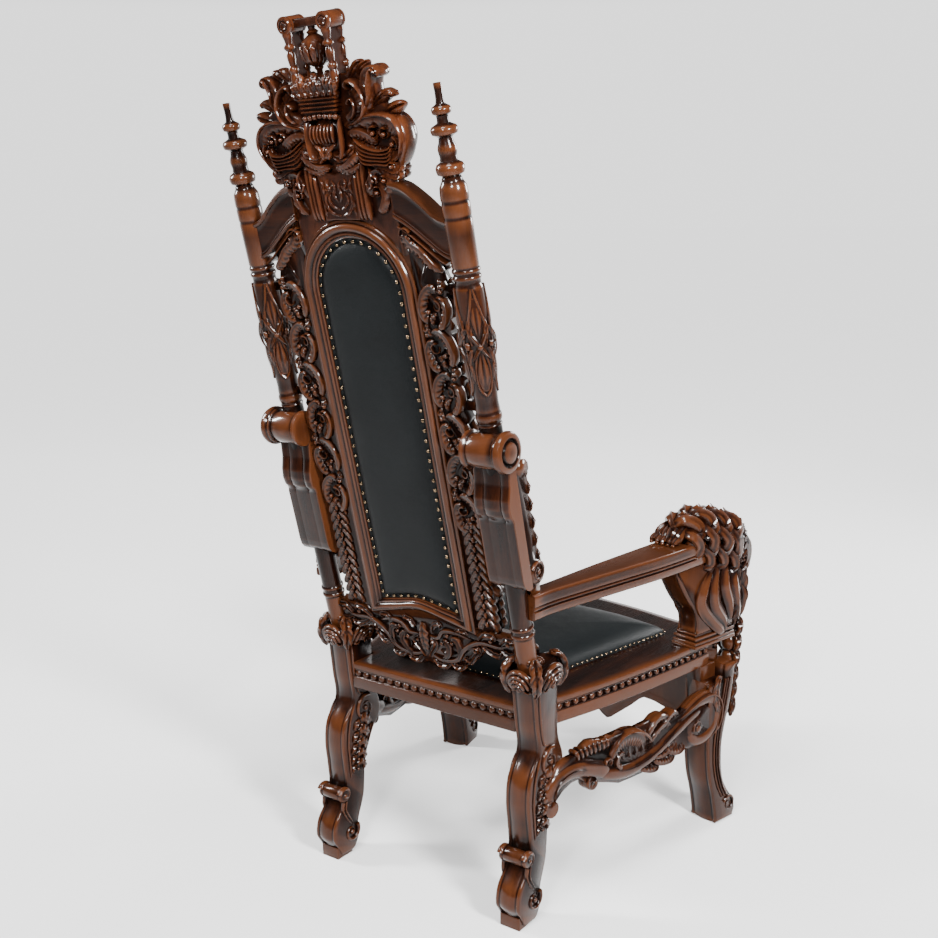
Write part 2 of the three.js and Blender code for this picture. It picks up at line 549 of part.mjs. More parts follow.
// ---------------------------------------------------------------- lion arm posts
function lionPost() {
  const rear = smooth([[104, 512], [102, 540], [112, 570], [140, 605], [168, 650], [182, ARM_LOW - FIT]], 8);
  const pillar = board('side', [[108, SEAT_TOP + FIT], ...rear, [90, ARM_LOW - FIT], [-30, 690],
    [-40, SEAT_TOP + FIT]], -36, 26, 4);
  const plinth = board('side', [[116, SEAT_TOP + FIT], [116, 496], [106, 512], [-34, 512],
    [-34, SEAT_TOP + FIT]], -42, 32, 2);
  const centre = -8;
  const skull = stem([[centre, 96, 742], [centre, 60, 738], [centre, 10, 724], [centre, -40, 705],
    [centre, -84, 686]], (u) => [40, 43, 44, 40, 28][Math.round(u * 4)],
  (u) => [50, 56, 55, 52, 34][Math.round(u * 4)], { normal: vec(0, 0.3, 0.954), steps: 4, sides: 8 });
  const nape = cut(lump([centre, 128, 760], [44, 56, 56], -8, 8), [block([-200, 60, 400], [200, 300, ARM_TOP + FIT])]);
  const rows = [[136, 790, 26], [66, 786, 25], [-6, 766, 24], [-66, 744, 22]];
  const mane = rows.map(([b, z, r]) => lump([centre, b, z], [40, r + 6, r + 4], -14, 7));
  const tufts = [-1, 1].map((s) => cut(lump([centre + s * 18, 176 - s * 3, 750], [25, 20, 16]),
    [block([-200, 60, 400], [200, 300, ARM_TOP + FIT])]));
  const ruff = [lump([centre + 30, -52, 688], [20, 36, 50]), lump([centre - 30, -52, 688], [20, 36, 50])];
  const muzzle = lump([centre, -80, 672], [22, 26, 24]);
  const chest = lump([centre, -46, 590], [38, 62, 84], 6, 8);
  const drop = [[486, 30, 44, 48], [416, 26, 39, 46], [346, 21, 33, 44], [284, 14, 23, 40]].map(([z, w, d, h]) => lump([centre, -62 + (496 - z) * 0.05, z], [w, d, h], 0, 6));
  const seatRoom = block([-200, -33, 200], [200, 300, SEAT_TOP + FIT]);
  return cut(fuse([pillar, plinth, skull, nape, ...mane, ...tufts, ...ruff, muzzle, chest, ...drop]),
    [seatRoom, block([-200, ARM_END - FIT, ARM_LOW - FIT], [200, 400, ARM_TOP + FIT])]);
}
pair((side) => lionGroups[side], 'lion_post', lionPost(), carvedMahogany);

// ---------------------------------------------------------------- front legs
function frontLeg() {
  const rear = smooth([[33, 0], [36, 30], [46, 80], [60, 130], [67, 190], [69, 260], [68, 340], [66, 414.7]], 8);
  const front = smooth([[-30, 414.7], [-24, 370], [-12, 310], [4, 260], [14, 216], [15, 165], [8, 118],
    [-8, 86], [-28, 58], [-39, 40], [-41, 20], [-33, 0]], 13);
  const shaft = board('side', [...rear, ...front], -40, 40, 5);
  const volute = bar('x', [0, -18, 44], 24, 84);
  return cut(fuse([shaft, volute]), [block([8, 10, 376], [100, 200, 500])]);
}
pair((side) => lionGroups[side], 'front_leg', frontLeg(), carvedMahogany);

// ---------------------------------------------------------------- side stretchers
/** A group along the line of a side stretcher: local -y runs forward, x is outward on the left. */
function stretcherGroup(side) {
  const group = new THREE.Group();
  group.position.set(STRETCHER.x * side, STRETCHER.y, 0);
  group.rotation.z = radians(STRETCHER.turn * side);
  throne.add(group);
  return group;
}
const inStretcher = (body) => move(body, shift(STRETCHER.x, STRETCHER.y, 0)
  .multiply(new THREE.Matrix4().makeRotationZ(radians(STRETCHER.turn))).invert());

function sideStretcher() {
  const top = smooth([[-46, 262], [-38, 300], [-15, 332], [20, 343], [54, 340], [79, 361], [103, 361],
    [139, 352], [187, 355], [240, 343], [282, 350], [313, 332], [341, 321], [365, 342], [385, 333],
    [434, 344], [497, 354], [527, 350], [550, 333], [560, 303]], 28);
  const low = smooth([[550, 270], [508, 242], [487, 239], [466, 237], [432, 236], [423, 247], [386, 248],
    [383, 226], [354, 223], [330, 235], [314, 220], [283, 231], [202, 230], [172, 236], [121, 257],
    [99, 250], [71, 276], [50, 286], [15, 279], [-8, 262], [-22, 250]], 24);
  const outline = [...top, ...low].map(([s, z]) => [-s, z]);
  const body = board('side', outline, -9, 9);
  const normal = vec(1, 0, 0);
  const strand = (points, w, d) => stem(points.map(([s, z]) => [0, -s, z]), taper(w, 4), taper(d, 9),
    { normal, steps: 8 });
  const strands = [
    strand([[-34, 280], [-12, 308], [40, 322], [98, 312], [150, 270], [202, 250], [270, 256], [340, 284],
      [420, 312], [500, 338]], 17, 17),
    strand([[54, 344], [92, 346], [140, 340], [190, 342], [250, 328], [300, 318]], 14, 16),
  ];
  const volutes = [
    bar('x', [-6, -470, 290], 46, 36, 14),
    bar('x', [0, 30, 244], 19, 28, 12),
  ];
  const ribs = [0, 1, 2, 3, 4].map((i) => stem([[0, -(190 + i * 22), 286], [0, -(196 + i * 20), 334 + (i % 2) * 4]],
    () => 8, () => 14, { normal, steps: 2 }));
  const legGap = [[0, -FIT, 0], [FIT, 0, 0]].map((gap) => inStretcher(move(rearLeg(), shift(...gap))));
  const frontGap = inStretcher(fromFoot(move(frontLeg(), shift(0, FIT, 0))));
  const frontRoom = inStretcher(fromFoot(block([-100, -200, 0], [100, 60, 500])));
  const behind = inStretcher(block([150, -60, 0], [400, 100, 700]));
  const rail = block([-200, -800, RAIL_LOW - FIT], [200, 200, 700]);
  return cut(fuse([body, ...strands, ...volutes, ...ribs]), [...legGap, frontGap, frontRoom, behind, rail]);
}
pair(stretcherGroup, 'side_stretcher', sideStretcher(), carvedMahogany);

// ---------------------------------------------------------------- front apron
function frontApron() {
  const low = smooth([[352, 300], [310, 240], [262, 262], [205, 274], [170, 246], [122, 208], [95, 192],
    [66, 214], [34, 232], [0, 224]], 18);
  const outline = both([[352, RAIL_LOW - FIT], ...low].map(([x, z]) => [x, z]));
  const body = board('back', outline, -718, -694);
  const fan = [-2, -1, 0, 1, 2].map((i) => stem([[i * 10, -718, 244], [i * 24, -722, 330]], fade(6, 13),
    () => 9, { steps: 2 }));
  const scrolls = [-1, 1].map((s) => stem([[60 * s, -718, 330], [120 * s, -718, 250], [190 * s, -718, 300],
    [270 * s, -718, 296], [310 * s, -718, 330]], taper(14, 4), taper(10, 4), { steps: 7 }));
  const legs = [fromFoot(block([-60, -140, 0], [48, 140, 460]))];
  const mirrored = solid(shell(legs[0], -1));
  return cut(fuse([body, ...fan, ...scrolls]), [...legs, mirrored]);
}
place(throne, 'front_apron', frontApron(), carvedMahogany);

export default throne;
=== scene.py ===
# %% [markdown]
# # A carved mahogany throne
# A tall reclined back between two turned posts carries a leather panel, pierced borders and a carved
# crest. The arms end in lions. Everything is drawn in millimetres in the same leaning and turned
# frames as the solid model, and one matrix for each frame puts it into the scene in metres.
# %% Load the frame
import math
import random
import bmesh
import bpy
import numpy as np
from mathutils import Matrix, Vector
from mathutils.bvhtree import BVHTree


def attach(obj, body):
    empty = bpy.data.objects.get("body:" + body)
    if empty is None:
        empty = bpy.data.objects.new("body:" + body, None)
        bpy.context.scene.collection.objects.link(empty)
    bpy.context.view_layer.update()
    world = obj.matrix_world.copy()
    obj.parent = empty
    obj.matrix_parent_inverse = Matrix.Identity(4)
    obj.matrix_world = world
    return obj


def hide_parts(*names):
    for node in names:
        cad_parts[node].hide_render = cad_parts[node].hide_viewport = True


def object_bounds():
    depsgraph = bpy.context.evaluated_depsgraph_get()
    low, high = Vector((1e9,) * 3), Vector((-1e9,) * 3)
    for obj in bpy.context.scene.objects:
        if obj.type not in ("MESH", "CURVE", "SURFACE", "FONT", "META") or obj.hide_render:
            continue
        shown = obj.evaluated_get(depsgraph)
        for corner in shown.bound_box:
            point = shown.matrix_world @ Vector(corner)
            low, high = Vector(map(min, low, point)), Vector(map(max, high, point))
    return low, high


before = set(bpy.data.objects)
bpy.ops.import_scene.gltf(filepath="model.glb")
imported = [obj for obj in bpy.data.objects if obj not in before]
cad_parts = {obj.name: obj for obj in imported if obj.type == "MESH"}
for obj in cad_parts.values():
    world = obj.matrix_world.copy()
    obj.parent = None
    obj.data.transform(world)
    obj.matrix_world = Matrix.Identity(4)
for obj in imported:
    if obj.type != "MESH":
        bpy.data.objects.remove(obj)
cad_box = [list(corner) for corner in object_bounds()]
print("nodes", len(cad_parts), "box", cad_box)

# %% [markdown]
# ## Frames of reference
# A chair maker draws the back flat on the bench and leans it later. The same is done here: a piece of
# the back is drawn across x, through n and up the slope t, and BACK leans it. The front feet and the
# stretchers are turned outward, so each has its own frame too.
# %% Matrices from the workbench to the room
RECLINE, BACK_FOOT_Y, POST_X = 12.8, -204.0, 264.0
MM = Matrix.Scale(0.001, 4)
CHAIR = MM @ Matrix.Translation((0, 282.2, 0))
BACK = CHAIR @ Matrix.Translation((0, BACK_FOOT_Y, 0)) @ Matrix.Rotation(math.radians(-RECLINE), 4, "X")
FOOT = CHAIR @ Matrix.Translation((397.5, -700, 0)) @ Matrix.Rotation(math.radians(13), 4, "Z")
STRETCHER = CHAIR @ Matrix.Translation((298, -135, 0)) @ Matrix.Rotation(math.radians(12.6), 4, "Z")
OTHER_SIDE = Matrix.Scale(-1, 4, (1, 0, 0))
print("back leans", RECLINE, "degrees")

# %% [markdown]
# ## Drawing with grids
# Most carved and moulded forms are one section moved along a line. Blender's grid operator gives the
# squares, and the squares are wrapped over rows of points. Rows come from a section along a smooth
# line for stems and leaves, or from one outline drawn again and again for mouldings.
# %% Smooth lines and skins
def spline(points, count):
    p = np.array(points, float)
    p = np.vstack([2 * p[0] - p[1], p, 2 * p[-1] - p[-2]])
    u = np.linspace(0, len(p) - 3, count + 1)
    i = np.minimum(u.astype(int), len(p) - 4)
    t = (u - i)[:, None]
    a, b, c, d = p[i], p[i + 1], p[i + 2], p[i + 3]
    return 0.5 * (2 * b + (c - a) * t + (2 * a - 5 * b + 4 * c - d) * t**2 + (3 * b - a - 3 * c + d) * t**3)


def skin(bm, rows, caps=True):
    """Wraps a grid over rows of points. Every row is a closed loop of the same count."""
    rows = np.array(rows, float)
    across, around = rows.shape[0] - 1, rows.shape[1]
    made = bmesh.ops.create_grid(bm, x_segments=across, y_segments=around, size=0.5)["verts"]
    for v in made:
        v.co = rows[round((v.co.x + 0.5) * across), round((v.co.y + 0.5) * around) % around]
    bmesh.ops.remove_doubles(bm, verts=made, dist=1e-3)
    if caps:
        rims = {e for v in made if v.is_valid for e in v.link_edges if e.is_boundary}
        bmesh.ops.holes_fill(bm, edges=list(rims), sides=0)


def sweep(bm, points, section, up, around=14, along=22):
    """Moves a section along a line. section(u, angle) gives how far across and how far up."""
    line = spline(points, along)
    way = np.gradient(line, axis=0)
    way /= np.linalg.norm(way, axis=1)[:, None] + 1e-9
    across = np.cross(way, np.array(up, float))
    across /= np.linalg.norm(across, axis=1)[:, None] + 1e-9
    lift = np.cross(across, way)
    rows = []
    for i in range(along + 1):
        loop = [section(i / along, 2 * math.pi * k / around) for k in range(around)]
        rows.append([line[i] + across[i] * a + lift[i] * h for a, h in loop])
    skin(bm, rows)


test = bmesh.new()
sweep(test, [(0, 0, 0), (0, 0, 50), (10, 0, 90)], lambda u, a: (5 * math.cos(a), 5 * math.sin(a)), (0, 1, 0))
print("a swept rod has", len(test.faces), "faces")

# %% [markdown]
# ## Stems, locks and leaves
# A carver's stem swells and tapers. A lock of hair is a stem with ridges. An acanthus leaf is wide
# and flat, with lobes at its edges, a groove down the midrib and slanting hollows between the lobes.
# Each of them is a formula for the section, so that one call carves one leaf.
# %% Carver's forms
def swell(u, least=0.15):
    return least + (1 - least) * math.sin(math.pi * min(u * 0.9 + 0.1, 1)) ** 0.7


def stem(bm, points, wide, deep, up=(0, 1, 0), taper=swell, ridges=0, **more):
    def section(u, angle):
        side, top, size = math.cos(angle), math.sin(angle), taper(u)
        ridge = 1 + (0.22 * math.cos(ridges * math.pi * side) if ridges else 0)
        return wide * size * side, deep * size * top * ridge
    sweep(bm, points, section, up, **more)


def fade(u):
    return 1 - 0.9 * u


def steady(u):
    return 1


def leaf(bm, points, wide, deep, up=(0, 1, 0), lobes=4, bite=0.24, under=0.7, ridges=0, around=20, along=22):
    def section(u, angle):
        side, top, size = math.cos(angle), math.sin(angle), swell(u, 0.12)
        edge = 1 - bite * (1 - abs(math.sin(math.pi * (lobes * u + 0.2))))
        height = deep * (0.35 + 0.65 * size)
        if top < 0:
            return wide * size * edge * side, -height * under * abs(top) ** 0.6
        if ridges:
            cut = 0.68 + 0.32 * math.cos(ridges * math.pi * side)
        else:
            vein = abs(math.sin(math.pi * (lobes * u + 0.2 - 0.7 * abs(side))))
            cut = (0.5 + 0.5 * vein) * (1 - 0.45 * math.exp(-((side / 0.16) ** 2)))
        return wide * size * edge * side, height * abs(top) ** 0.55 * cut
    sweep(bm, points, section, up, around, along)


def blunt(u):
    return max(0.02, 1 - abs(2 * u - 1) ** 5) ** 0.5


def comb(bm, points, wide, deep, up=(0, 1, 0), ribs=9, lines=2.5, rim=1, along=None):
    """A broad rolled leaf: a smooth rim on one side, flowing grooves, and teeth along the other edge."""
    def section(u, angle):
        side, top, size = math.cos(angle) * rim, math.sin(angle), blunt(u)
        rib = abs(math.sin(math.pi * (ribs * u + 0.5 * side)))
        cut = 1.1 if side > 0.55 else 0.66 + 0.3 * abs(math.cos(math.pi * (lines * side + 0.5 * u)))
        if side < -0.35:
            cut *= 0.66 + 0.34 * rib
        edge = 1 - (0.24 * (1 - rib) if side < -0.4 else 0)
        if top < 0:
            return wide * size * edge * side * rim, -deep * 0.6 * abs(top) ** 0.6
        return wide * size * edge * side * rim, deep * (0.3 + 0.7 * size) * abs(top) ** 0.5 * cut
    sweep(bm, points, section, up, 16, along or 4 * ribs + 6)


def spiral(x, z, radius, turns, start, steps=18, sign=1):
    """Points winding in to an eye, for volutes."""
    out = []
    for i in range(steps + 1):
        u = i / steps
        angle = start + sign * 2 * math.pi * turns * u
        r = radius * (1 - 0.86 * u)
        out.append((x + r * math.cos(angle), z + r * math.sin(angle)))
    return out


def ball(bm, at, size, n=12):
    where = Matrix.Translation(at) @ Matrix.Diagonal((*size, 1))
    bmesh.ops.create_uvsphere(bm, u_segments=n, v_segments=max(6, n // 2 + 2), radius=1, matrix=where)


def pour(bm, part, where=Matrix()):
    """Puts another bmesh into bm through a matrix."""
    bmesh.ops.transform(part, matrix=where, verts=part.verts)
    passing = bpy.data.meshes.new("passing")
    part.to_mesh(passing)
    part.free()
    bm.from_mesh(passing)
    bpy.data.meshes.remove(passing)


def turned(bm, profile, where=Matrix(), steps=40):
    """Spins a profile of (radius, height) into a closed turned form."""
    part = bmesh.new()
    points = [(0, profile[0][1]), *profile, (0, profile[-1][1])]
    corners = [part.verts.new((r, 0, z)) for r, z in points]
    rim = [part.edges.new(pair) for pair in zip(corners, corners[1:])]
    bmesh.ops.spin(part, geom=corners + rim, cent=(0, 0, 0), axis=(0, 0, 1), angle=2 * math.pi,
                   steps=steps, use_merge=True)
    bmesh.ops.remove_doubles(part, verts=part.verts, dist=1e-3)
    pour(bm, part, where)


def slab(bm, outline, low, high, face="xz", bevel=0.0):
    """A board of an outline between two depths; face is the plane that the outline is drawn in."""
    put = {"xz": lambda a, b, d: (a, d, b), "xy": lambda a, b, d: (a, b, d)}[face]
    part = bmesh.new()
    base = part.faces.new([part.verts.new(put(a, b, low)) for a, b in outline])
    top = bmesh.ops.extrude_face_region(part, geom=[base], use_keep_orig=True)["geom"]
    moved = [v for v in top if isinstance(v, bmesh.types.BMVert)]
    bmesh.ops.translate(part, verts=moved, vec=Vector(put(0, 0, high - low)))
    bmesh.ops.recalc_face_normals(part, faces=part.faces)
    if bevel:
        sharp = [e for e in part.edges if e.is_manifold and e.calc_face_angle() > 0.6]
        bmesh.ops.bevel(part, geom=sharp, offset=bevel, offset_type="OFFSET", segments=3, profile=0.5,
                        affect="EDGES", material=-1, clamp_overlap=True)
    pour(bm, part)


def plate(bm, outline, low, high, middle):
    """A board like slab, with rings of points on its faces and a softened edge."""
    loop, mid, soft = np.array(outline, float), np.array(middle, float), 1.5
    reach = np.linalg.norm(loop - mid, axis=1)[:, None] + 1e-9

    def loop_at(k, depth):
        shrink = k if k < 0.99 else k - soft * (1 - k + 0.01) * 100 / reach
        return [(x, depth, z) for x, z in mid + (loop - mid) * shrink]
    inner = (0.06, 0.2, 0.35, 0.5, 0.64, 0.76, 0.86, 0.93, 0.97)
    rows = [loop_at(k, low) for k in inner] + [loop_at(0.9999, low)]
    rows += [loop_at(1.01, low + (high - low) * u) for u in (0.1, 0.5, 0.9)]
    rows += [loop_at(0.9999, high)] + [loop_at(k, high) for k in inner[::-1]]
    skin(bm, rows)


def mirror(half):
    """A closed outline from its half; points on the middle line are not doubled."""
    half = [tuple(p) for p in half]
    return half + [(-x, y) for x, y in reversed(half) if abs(x) > 1e-6]


def both_ends(half):
    """The profile of a roll from its middle to one end, repeated for the other end."""
    return [(r, -z) for r, z in reversed(half) if z] + half


print("carver's forms ready")

# %% [markdown]
# ## Faces to carve on
# Most carving lies on a flat face, so it is drawn flat, with two numbers for a point. A Face knows how
# such a point goes to its place and which way is outward, and it offers the forms above. The word lift
# raises the work off the face. Upright faces look to the rear or to the front, side faces to a side.
# %% Faces
class Face:
    def __init__(self, bm, put, up):
        self.bm, self.put, self.up = bm, put, up

    def at(self, points, lift):
        return [self.put(a, b, lift) for a, b in points]

    def stem(self, points, wide, deep, taper=blunt, lift=0, **more):
        stem(self.bm, self.at(points, lift), wide, deep, self.up, taper, **more)

    def leaf(self, points, wide, deep, lift=0, **more):
        leaf(self.bm, self.at(points, lift), wide, deep, self.up, **more)

    def comb(self, points, wide, deep, ribs, rim, lift=0, **more):
        comb(self.bm, self.at(points, lift), wide, deep, self.up, ribs, rim=rim, **more)

    def coil(self, eye, radius, turns, start, wide, deep, sign=1, steps=18, lift=0, **more):
        self.stem(spiral(*eye, radius, turns, start, steps, sign), wide, deep, fade, lift, **more)

    def berry(self, a, b, size, lift=0, n=10):
        ball(self.bm, self.put(a, b, lift), size, n)


def upright(bm, depth, face, s=1, x0=0, z0=0):
    """A face drawn across and up from (x0, z0); s = -1 mirrors it."""
    return Face(bm, lambda x, z, lift: (x0 + x * s, depth + lift * face, z0 + z), (0, face, 0))


def side_face(bm, x, face):
    return Face(bm, lambda y, z, lift: (x + lift * face, y, z), (face, 0, 0))


def add_object(name, data):
    made = bpy.data.objects.new(name, data)
    bpy.context.scene.collection.objects.link(made)
    return made


print("faces look", upright(None, 0, 1).up, side_face(None, 0, 1).up)

# %% [markdown]
# ## From drawing to piece
# A carved piece is drawn as many closed leaves and stems that run into each other and into a core, as
# if cut from one block. Every vertex looks round itself: short rays are cast from it, and the share
# that hits wood is kept as a number called recess, which tells how much shade falls there. Crowns that
# stand proud get a number below zero. The wood's colour is darkened by it as painted shade and
# lightened on the crowns as a painted highlight.
# %% Hollows and crowns
WORLD_LOW, WORLD_HIGH = np.array(cad_box[0]), np.array(cad_box[1])
CAST = 4
way_out = np.random.default_rng(7).normal(size=(CAST, 3))
way_out /= np.linalg.norm(way_out, axis=1)[:, None]


def neighbours(mesh):
    ends = np.zeros(len(mesh.edges) * 2, int)
    mesh.edges.foreach_get("vertices", ends)
    ends = ends.reshape(-1, 2)
    count = np.maximum(np.bincount(ends.ravel(), minlength=len(mesh.vertices)), 1)

    def mean(values):
        total = [np.bincount(ends[:, 0], values[ends[:, 1], k], len(values))
                 + np.bincount(ends[:, 1], values[ends[:, 0], k], len(values)) for k in range(values.shape[1])]
        return np.stack(total, 1) / count[:, None]
    return mean


def mark_recesses(mesh, reach=0.03, crest=0.0009):
    n = len(mesh.vertices)
    co, normal = np.zeros(n * 3), np.zeros(n * 3)
    mesh.vertices.foreach_get("co", co)
    mesh.vertices.foreach_get("normal", normal)
    co, normal = co.reshape(-1, 3), normal.reshape(-1, 3)
    tree = BVHTree.FromPolygons(co.tolist(), [tuple(p.vertices) for p in mesh.polygons])
    hits = np.zeros((n, 1))
    start = co + normal * 0.0008
    for spread in way_out:
        rays = normal * 1.05 + spread
        for i, (at, ray) in enumerate(zip(start.tolist(), rays.tolist())):
            far = tree.ray_cast(at, ray, reach)[3]
            if far is not None:
                hits[i] += 1 - 0.6 * far / reach
    mean = neighbours(mesh)
    hits = 0.4 * hits / CAST + 0.6 * mean(hits / CAST)
    smooth = co.copy()
    for _ in range(3):
        smooth += 0.7 * (mean(smooth) - smooth)
    crown = np.clip(((smooth - co) * normal).sum(1) / crest, -1, 0.5)
    # recess: the share of rays that hit wood, where shade falls, less the crowns; the shaders paint shade and highlight
    # by it
    value = np.clip(hits[:, 0] * 1.5, 0, 1) + 0.5 * crown
    layer = mesh.attributes.get("recess") or mesh.attributes.new("recess", "FLOAT", "POINT")
    layer.data.foreach_set("value", value.astype(np.float32))


def keep_inside(mesh):
    """Holds a piece inside the solid model's box."""
    co = np.zeros(len(mesh.vertices) * 3)
    mesh.vertices.foreach_get("co", co)
    inside = np.clip(co.reshape(-1, 3), WORLD_LOW + 2e-4, WORLD_HIGH - 2e-4)
    mesh.vertices.foreach_set("co", inside.ravel())
    mesh.update()


def into_mesh(bm, place):
    """Closes a drawing: puts it in the room and marks its hollows."""
    bmesh.ops.transform(bm, matrix=place, verts=bm.verts)
    bmesh.ops.recalc_face_normals(bm, faces=bm.faces)
    mesh = bpy.data.meshes.new("drawn")
    bm.to_mesh(mesh)
    bm.free()
    mark_recesses(mesh)
    return mesh


def show(name, meshes, material, crease=35, mirrored=False, extra=False):
    """One piece from its meshes, riding on the throne, and its twin on the other side if asked.

    It stands for the solid node of its name, unless it is extra work on another piece."""
    for word, turn in (("left", 1), ("right", -1)) if mirrored else (("", 1),):
        bm = bmesh.new()
        for mesh in meshes:
            bm.from_mesh(mesh)
        if turn < 0:
            bmesh.ops.transform(bm, matrix=OTHER_SIDE, verts=bm.verts)
            bmesh.ops.reverse_faces(bm, faces=bm.faces)
        made = bpy.data.meshes.new(name + word)
        bm.to_mesh(made)
        bm.free()
        keep_inside(made)
        made.shade_smooth()
        made.set_sharp_from_angle(angle=math.radians(crease))
        made.materials.clear()
        made.materials.append(material)
        made.polygons.foreach_set("material_index", [0] * len(made.polygons))
        node = f"{name}_{word}".strip("_")
        piece = add_object(node + "_look", made)
        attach(piece, "root")
        if not extra:
            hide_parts(node)
        print(piece.name, len(made.polygons), "faces")
    return piece


def node_copy(bm, name, place):
    """A merged copy of a solid node, brought back to the workbench."""
    part = bmesh.new()
    part.from_mesh(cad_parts[name].data)
    bmesh.ops.remove_doubles(part, verts=part.verts, dist=2e-6)
    pour(bm, part, place.inverted())


print("room for looks", WORLD_HIGH - WORLD_LOW)

# %% [markdown]
# ## Shader maths as plain Python
# A material is easier to read as a sum than as a web of nodes. Tone wraps one socket, and its
# operators add the Math nodes. Nodes holds one material, and its add method makes any other node.
# %% A socket that can be calculated with
class Tone:
    def __init__(self, nodes, socket):
        self.nodes, self.socket = nodes, socket

    def math(self, operation, first, second):
        return self.nodes.add("ShaderNodeMath", {"operation": operation}, {0: first, 1: second})

    def __add__(self, other): return self.math("ADD", self, other)
    def __radd__(self, other): return self.math("ADD", self, other)
    def __sub__(self, other): return self.math("SUBTRACT", self, other)
    def __rsub__(self, other): return self.math("SUBTRACT", other, self)
    def __mul__(self, other): return self.math("MULTIPLY", self, other)

    def held(self, low=0.0, high=1.0):
        return self.nodes.add("ShaderNodeClamp", {}, {"Value": self, "Min": low, "Max": high})


class Nodes:
    def __init__(self, name, room=None):
        self.material = room or bpy.data.materials.new(name)
        self.material.use_nodes = True
        self.tree = self.material.node_tree
        self.shader = self.tree.nodes["Background" if room else "Principled BSDF"]
        place = self.tree.nodes.new("ShaderNodeTexCoord")
        self.place = Tone(self, place.outputs["Generated" if room else "Object"])

    def feed(self, socket, value):
        if isinstance(value, Tone):
            self.tree.links.new(value.socket, socket)
        else:
            socket.default_value = value

    def add(self, kind, settings, inputs, output=0):
        node = self.tree.nodes.new(kind)
        for key, value in settings.items():
            if key == "stops":
                ramp = node.color_ramp
                while len(ramp.elements) < len(value):
                    ramp.elements.new(1)
                for stop, (where, colour) in zip(ramp.elements, value):
                    stop.position, stop.color = where, (*colour, 1)
            else:
                setattr(node, key, value)
        for key, value in inputs.items():
            self.feed(node.inputs[key], value)
        return Tone(self, node.outputs[output])

    def mix(self, amount, low, high):
        colours = [(*c, 1) if isinstance(c, tuple) else c for c in (low, high)]
        return self.add("ShaderNodeMix", {"data_type": "RGBA"}, {0: amount, 6: colours[0], 7: colours[1]}, 2)

    def noise(self, where, scale, detail=4.0, rough=0.55, distortion=0.0):
        return self.add("ShaderNodeTexNoise", {}, {"Vector": where, "Scale": scale, "Detail": detail,
                                                   "Roughness": rough, "Distortion": distortion})

    def rise(self, value, start, end, low=0.0, high=1.0):
        """A smooth step from low to high while the value goes from start to end."""
        return self.add("ShaderNodeMapRange", {"interpolation_type": "SMOOTHSTEP"},
                        {"Value": value, "From Min": start, "From Max": end, "To Min": low, "To Max": high})

    def recess(self):
        return self.add("ShaderNodeAttribute", {"attribute_name": "recess"}, {}, 2)

    def bump(self, height, strength, distance):
        return self.add("ShaderNodeBump", {}, {"Strength": strength, "Distance": distance, "Height": height})

    def finish(self, **sockets):
        for name, value in sockets.items():
            self.feed(self.shader.inputs[name.replace("_", " ")], value)
        return self.material


print("shader helpers ready")

# %% [markdown]
# ## Mahogany
# Stained mahogany is a deep red brown. Its pores run along the grain, so noise is drawn out along the
# length of each member. Painted shade darkens the hollows and a painted highlight lightens the crowns,
# both by the recess number. A thin clear coat carries the gloss.
# %% Wood
def mahogany(name, stretch, turn=(0, 0, 0), depth=1.0, painted_brightness=1.0):
    m = Nodes(name)
    grain = m.add("ShaderNodeMapping", {}, {"Vector": m.place, "Scale": stretch, "Rotation": turn})
    figure = m.noise(grain, 26, 5, 0.6, 0.6)
    pores = m.noise(grain, 260, 3, 0.6)
    cloud = m.noise(m.place, 9, 3, 0.5)
    tone = (figure * 0.8 + cloud * 0.35 + pores * 0.25 - 0.2).held()
    # painted_brightness multiplies every colour of the wood: painted light for a piece that should look more lit
    stops = [(at, tuple(c * painted_brightness for c in colour)) for at, colour in (
        (0.22, (0.0012, 0.0003, 0.0001)), (0.42, (0.0044, 0.0010, 0.0004)),
        (0.62, (0.0125, 0.0031, 0.0010)), (0.85, (0.030, 0.0082, 0.0026)))]
    base = m.add("ShaderNodeValToRGB", {"stops": stops}, {"Fac": tone})
    recess = m.recess()
    # hollow and crown are the masks for the painted shade and the painted highlight; depth sets their strength
    hollow = (recess * (0.95 * depth)).held()
    crown = (recess * (-0.9 * depth)).held()
    # Painted shade: the hollows go to near black; painted highlight: the crowns go to a light red brown
    painted_shade_wood = m.mix(hollow, base, (0.0009, 0.0004, 0.0002))
    painted_highlight_wood = m.mix((crown * 0.8).held(), painted_shade_wood, (0.085, 0.026, 0.0085))
    roughness = (0.3 + pores * 0.12 + hollow * 0.35).held(0.1, 0.9)
    return m.finish(Base_Color=painted_highlight_wood, Roughness=roughness, Normal=m.bump(pores + figure * 0.5, 0.16, 0.0012),
                    Coat_Weight=(1.0 - hollow * 0.7).held(), Coat_Roughness=0.13, Coat_IOR=1.25,
                    Specular_IOR_Level=0.03)


tall = mahogany("mahogany_upright", (1.0, 1.0, 0.09), (math.radians(RECLINE), 0, 0))
across = mahogany("mahogany_across", (0.09, 1.0, 1.0), depth=0.55)
fore = mahogany("mahogany_fore_and_aft", (1.0, 0.09, 1.0))
carved = mahogany("mahogany_carved", (1.0, 1.0, 0.25))
# The crest's wood is a lit copy: every colour is made 2.3 times brighter as painted light, with weaker painted shade
crest_painted_bright = mahogany("mahogany_crest_painted_bright", (1.0, 1.0, 0.25), depth=0.6, painted_brightness=2.3)
print("woods", *(wood.name for wood in (tall, across, fore, carved, crest_painted_bright)))

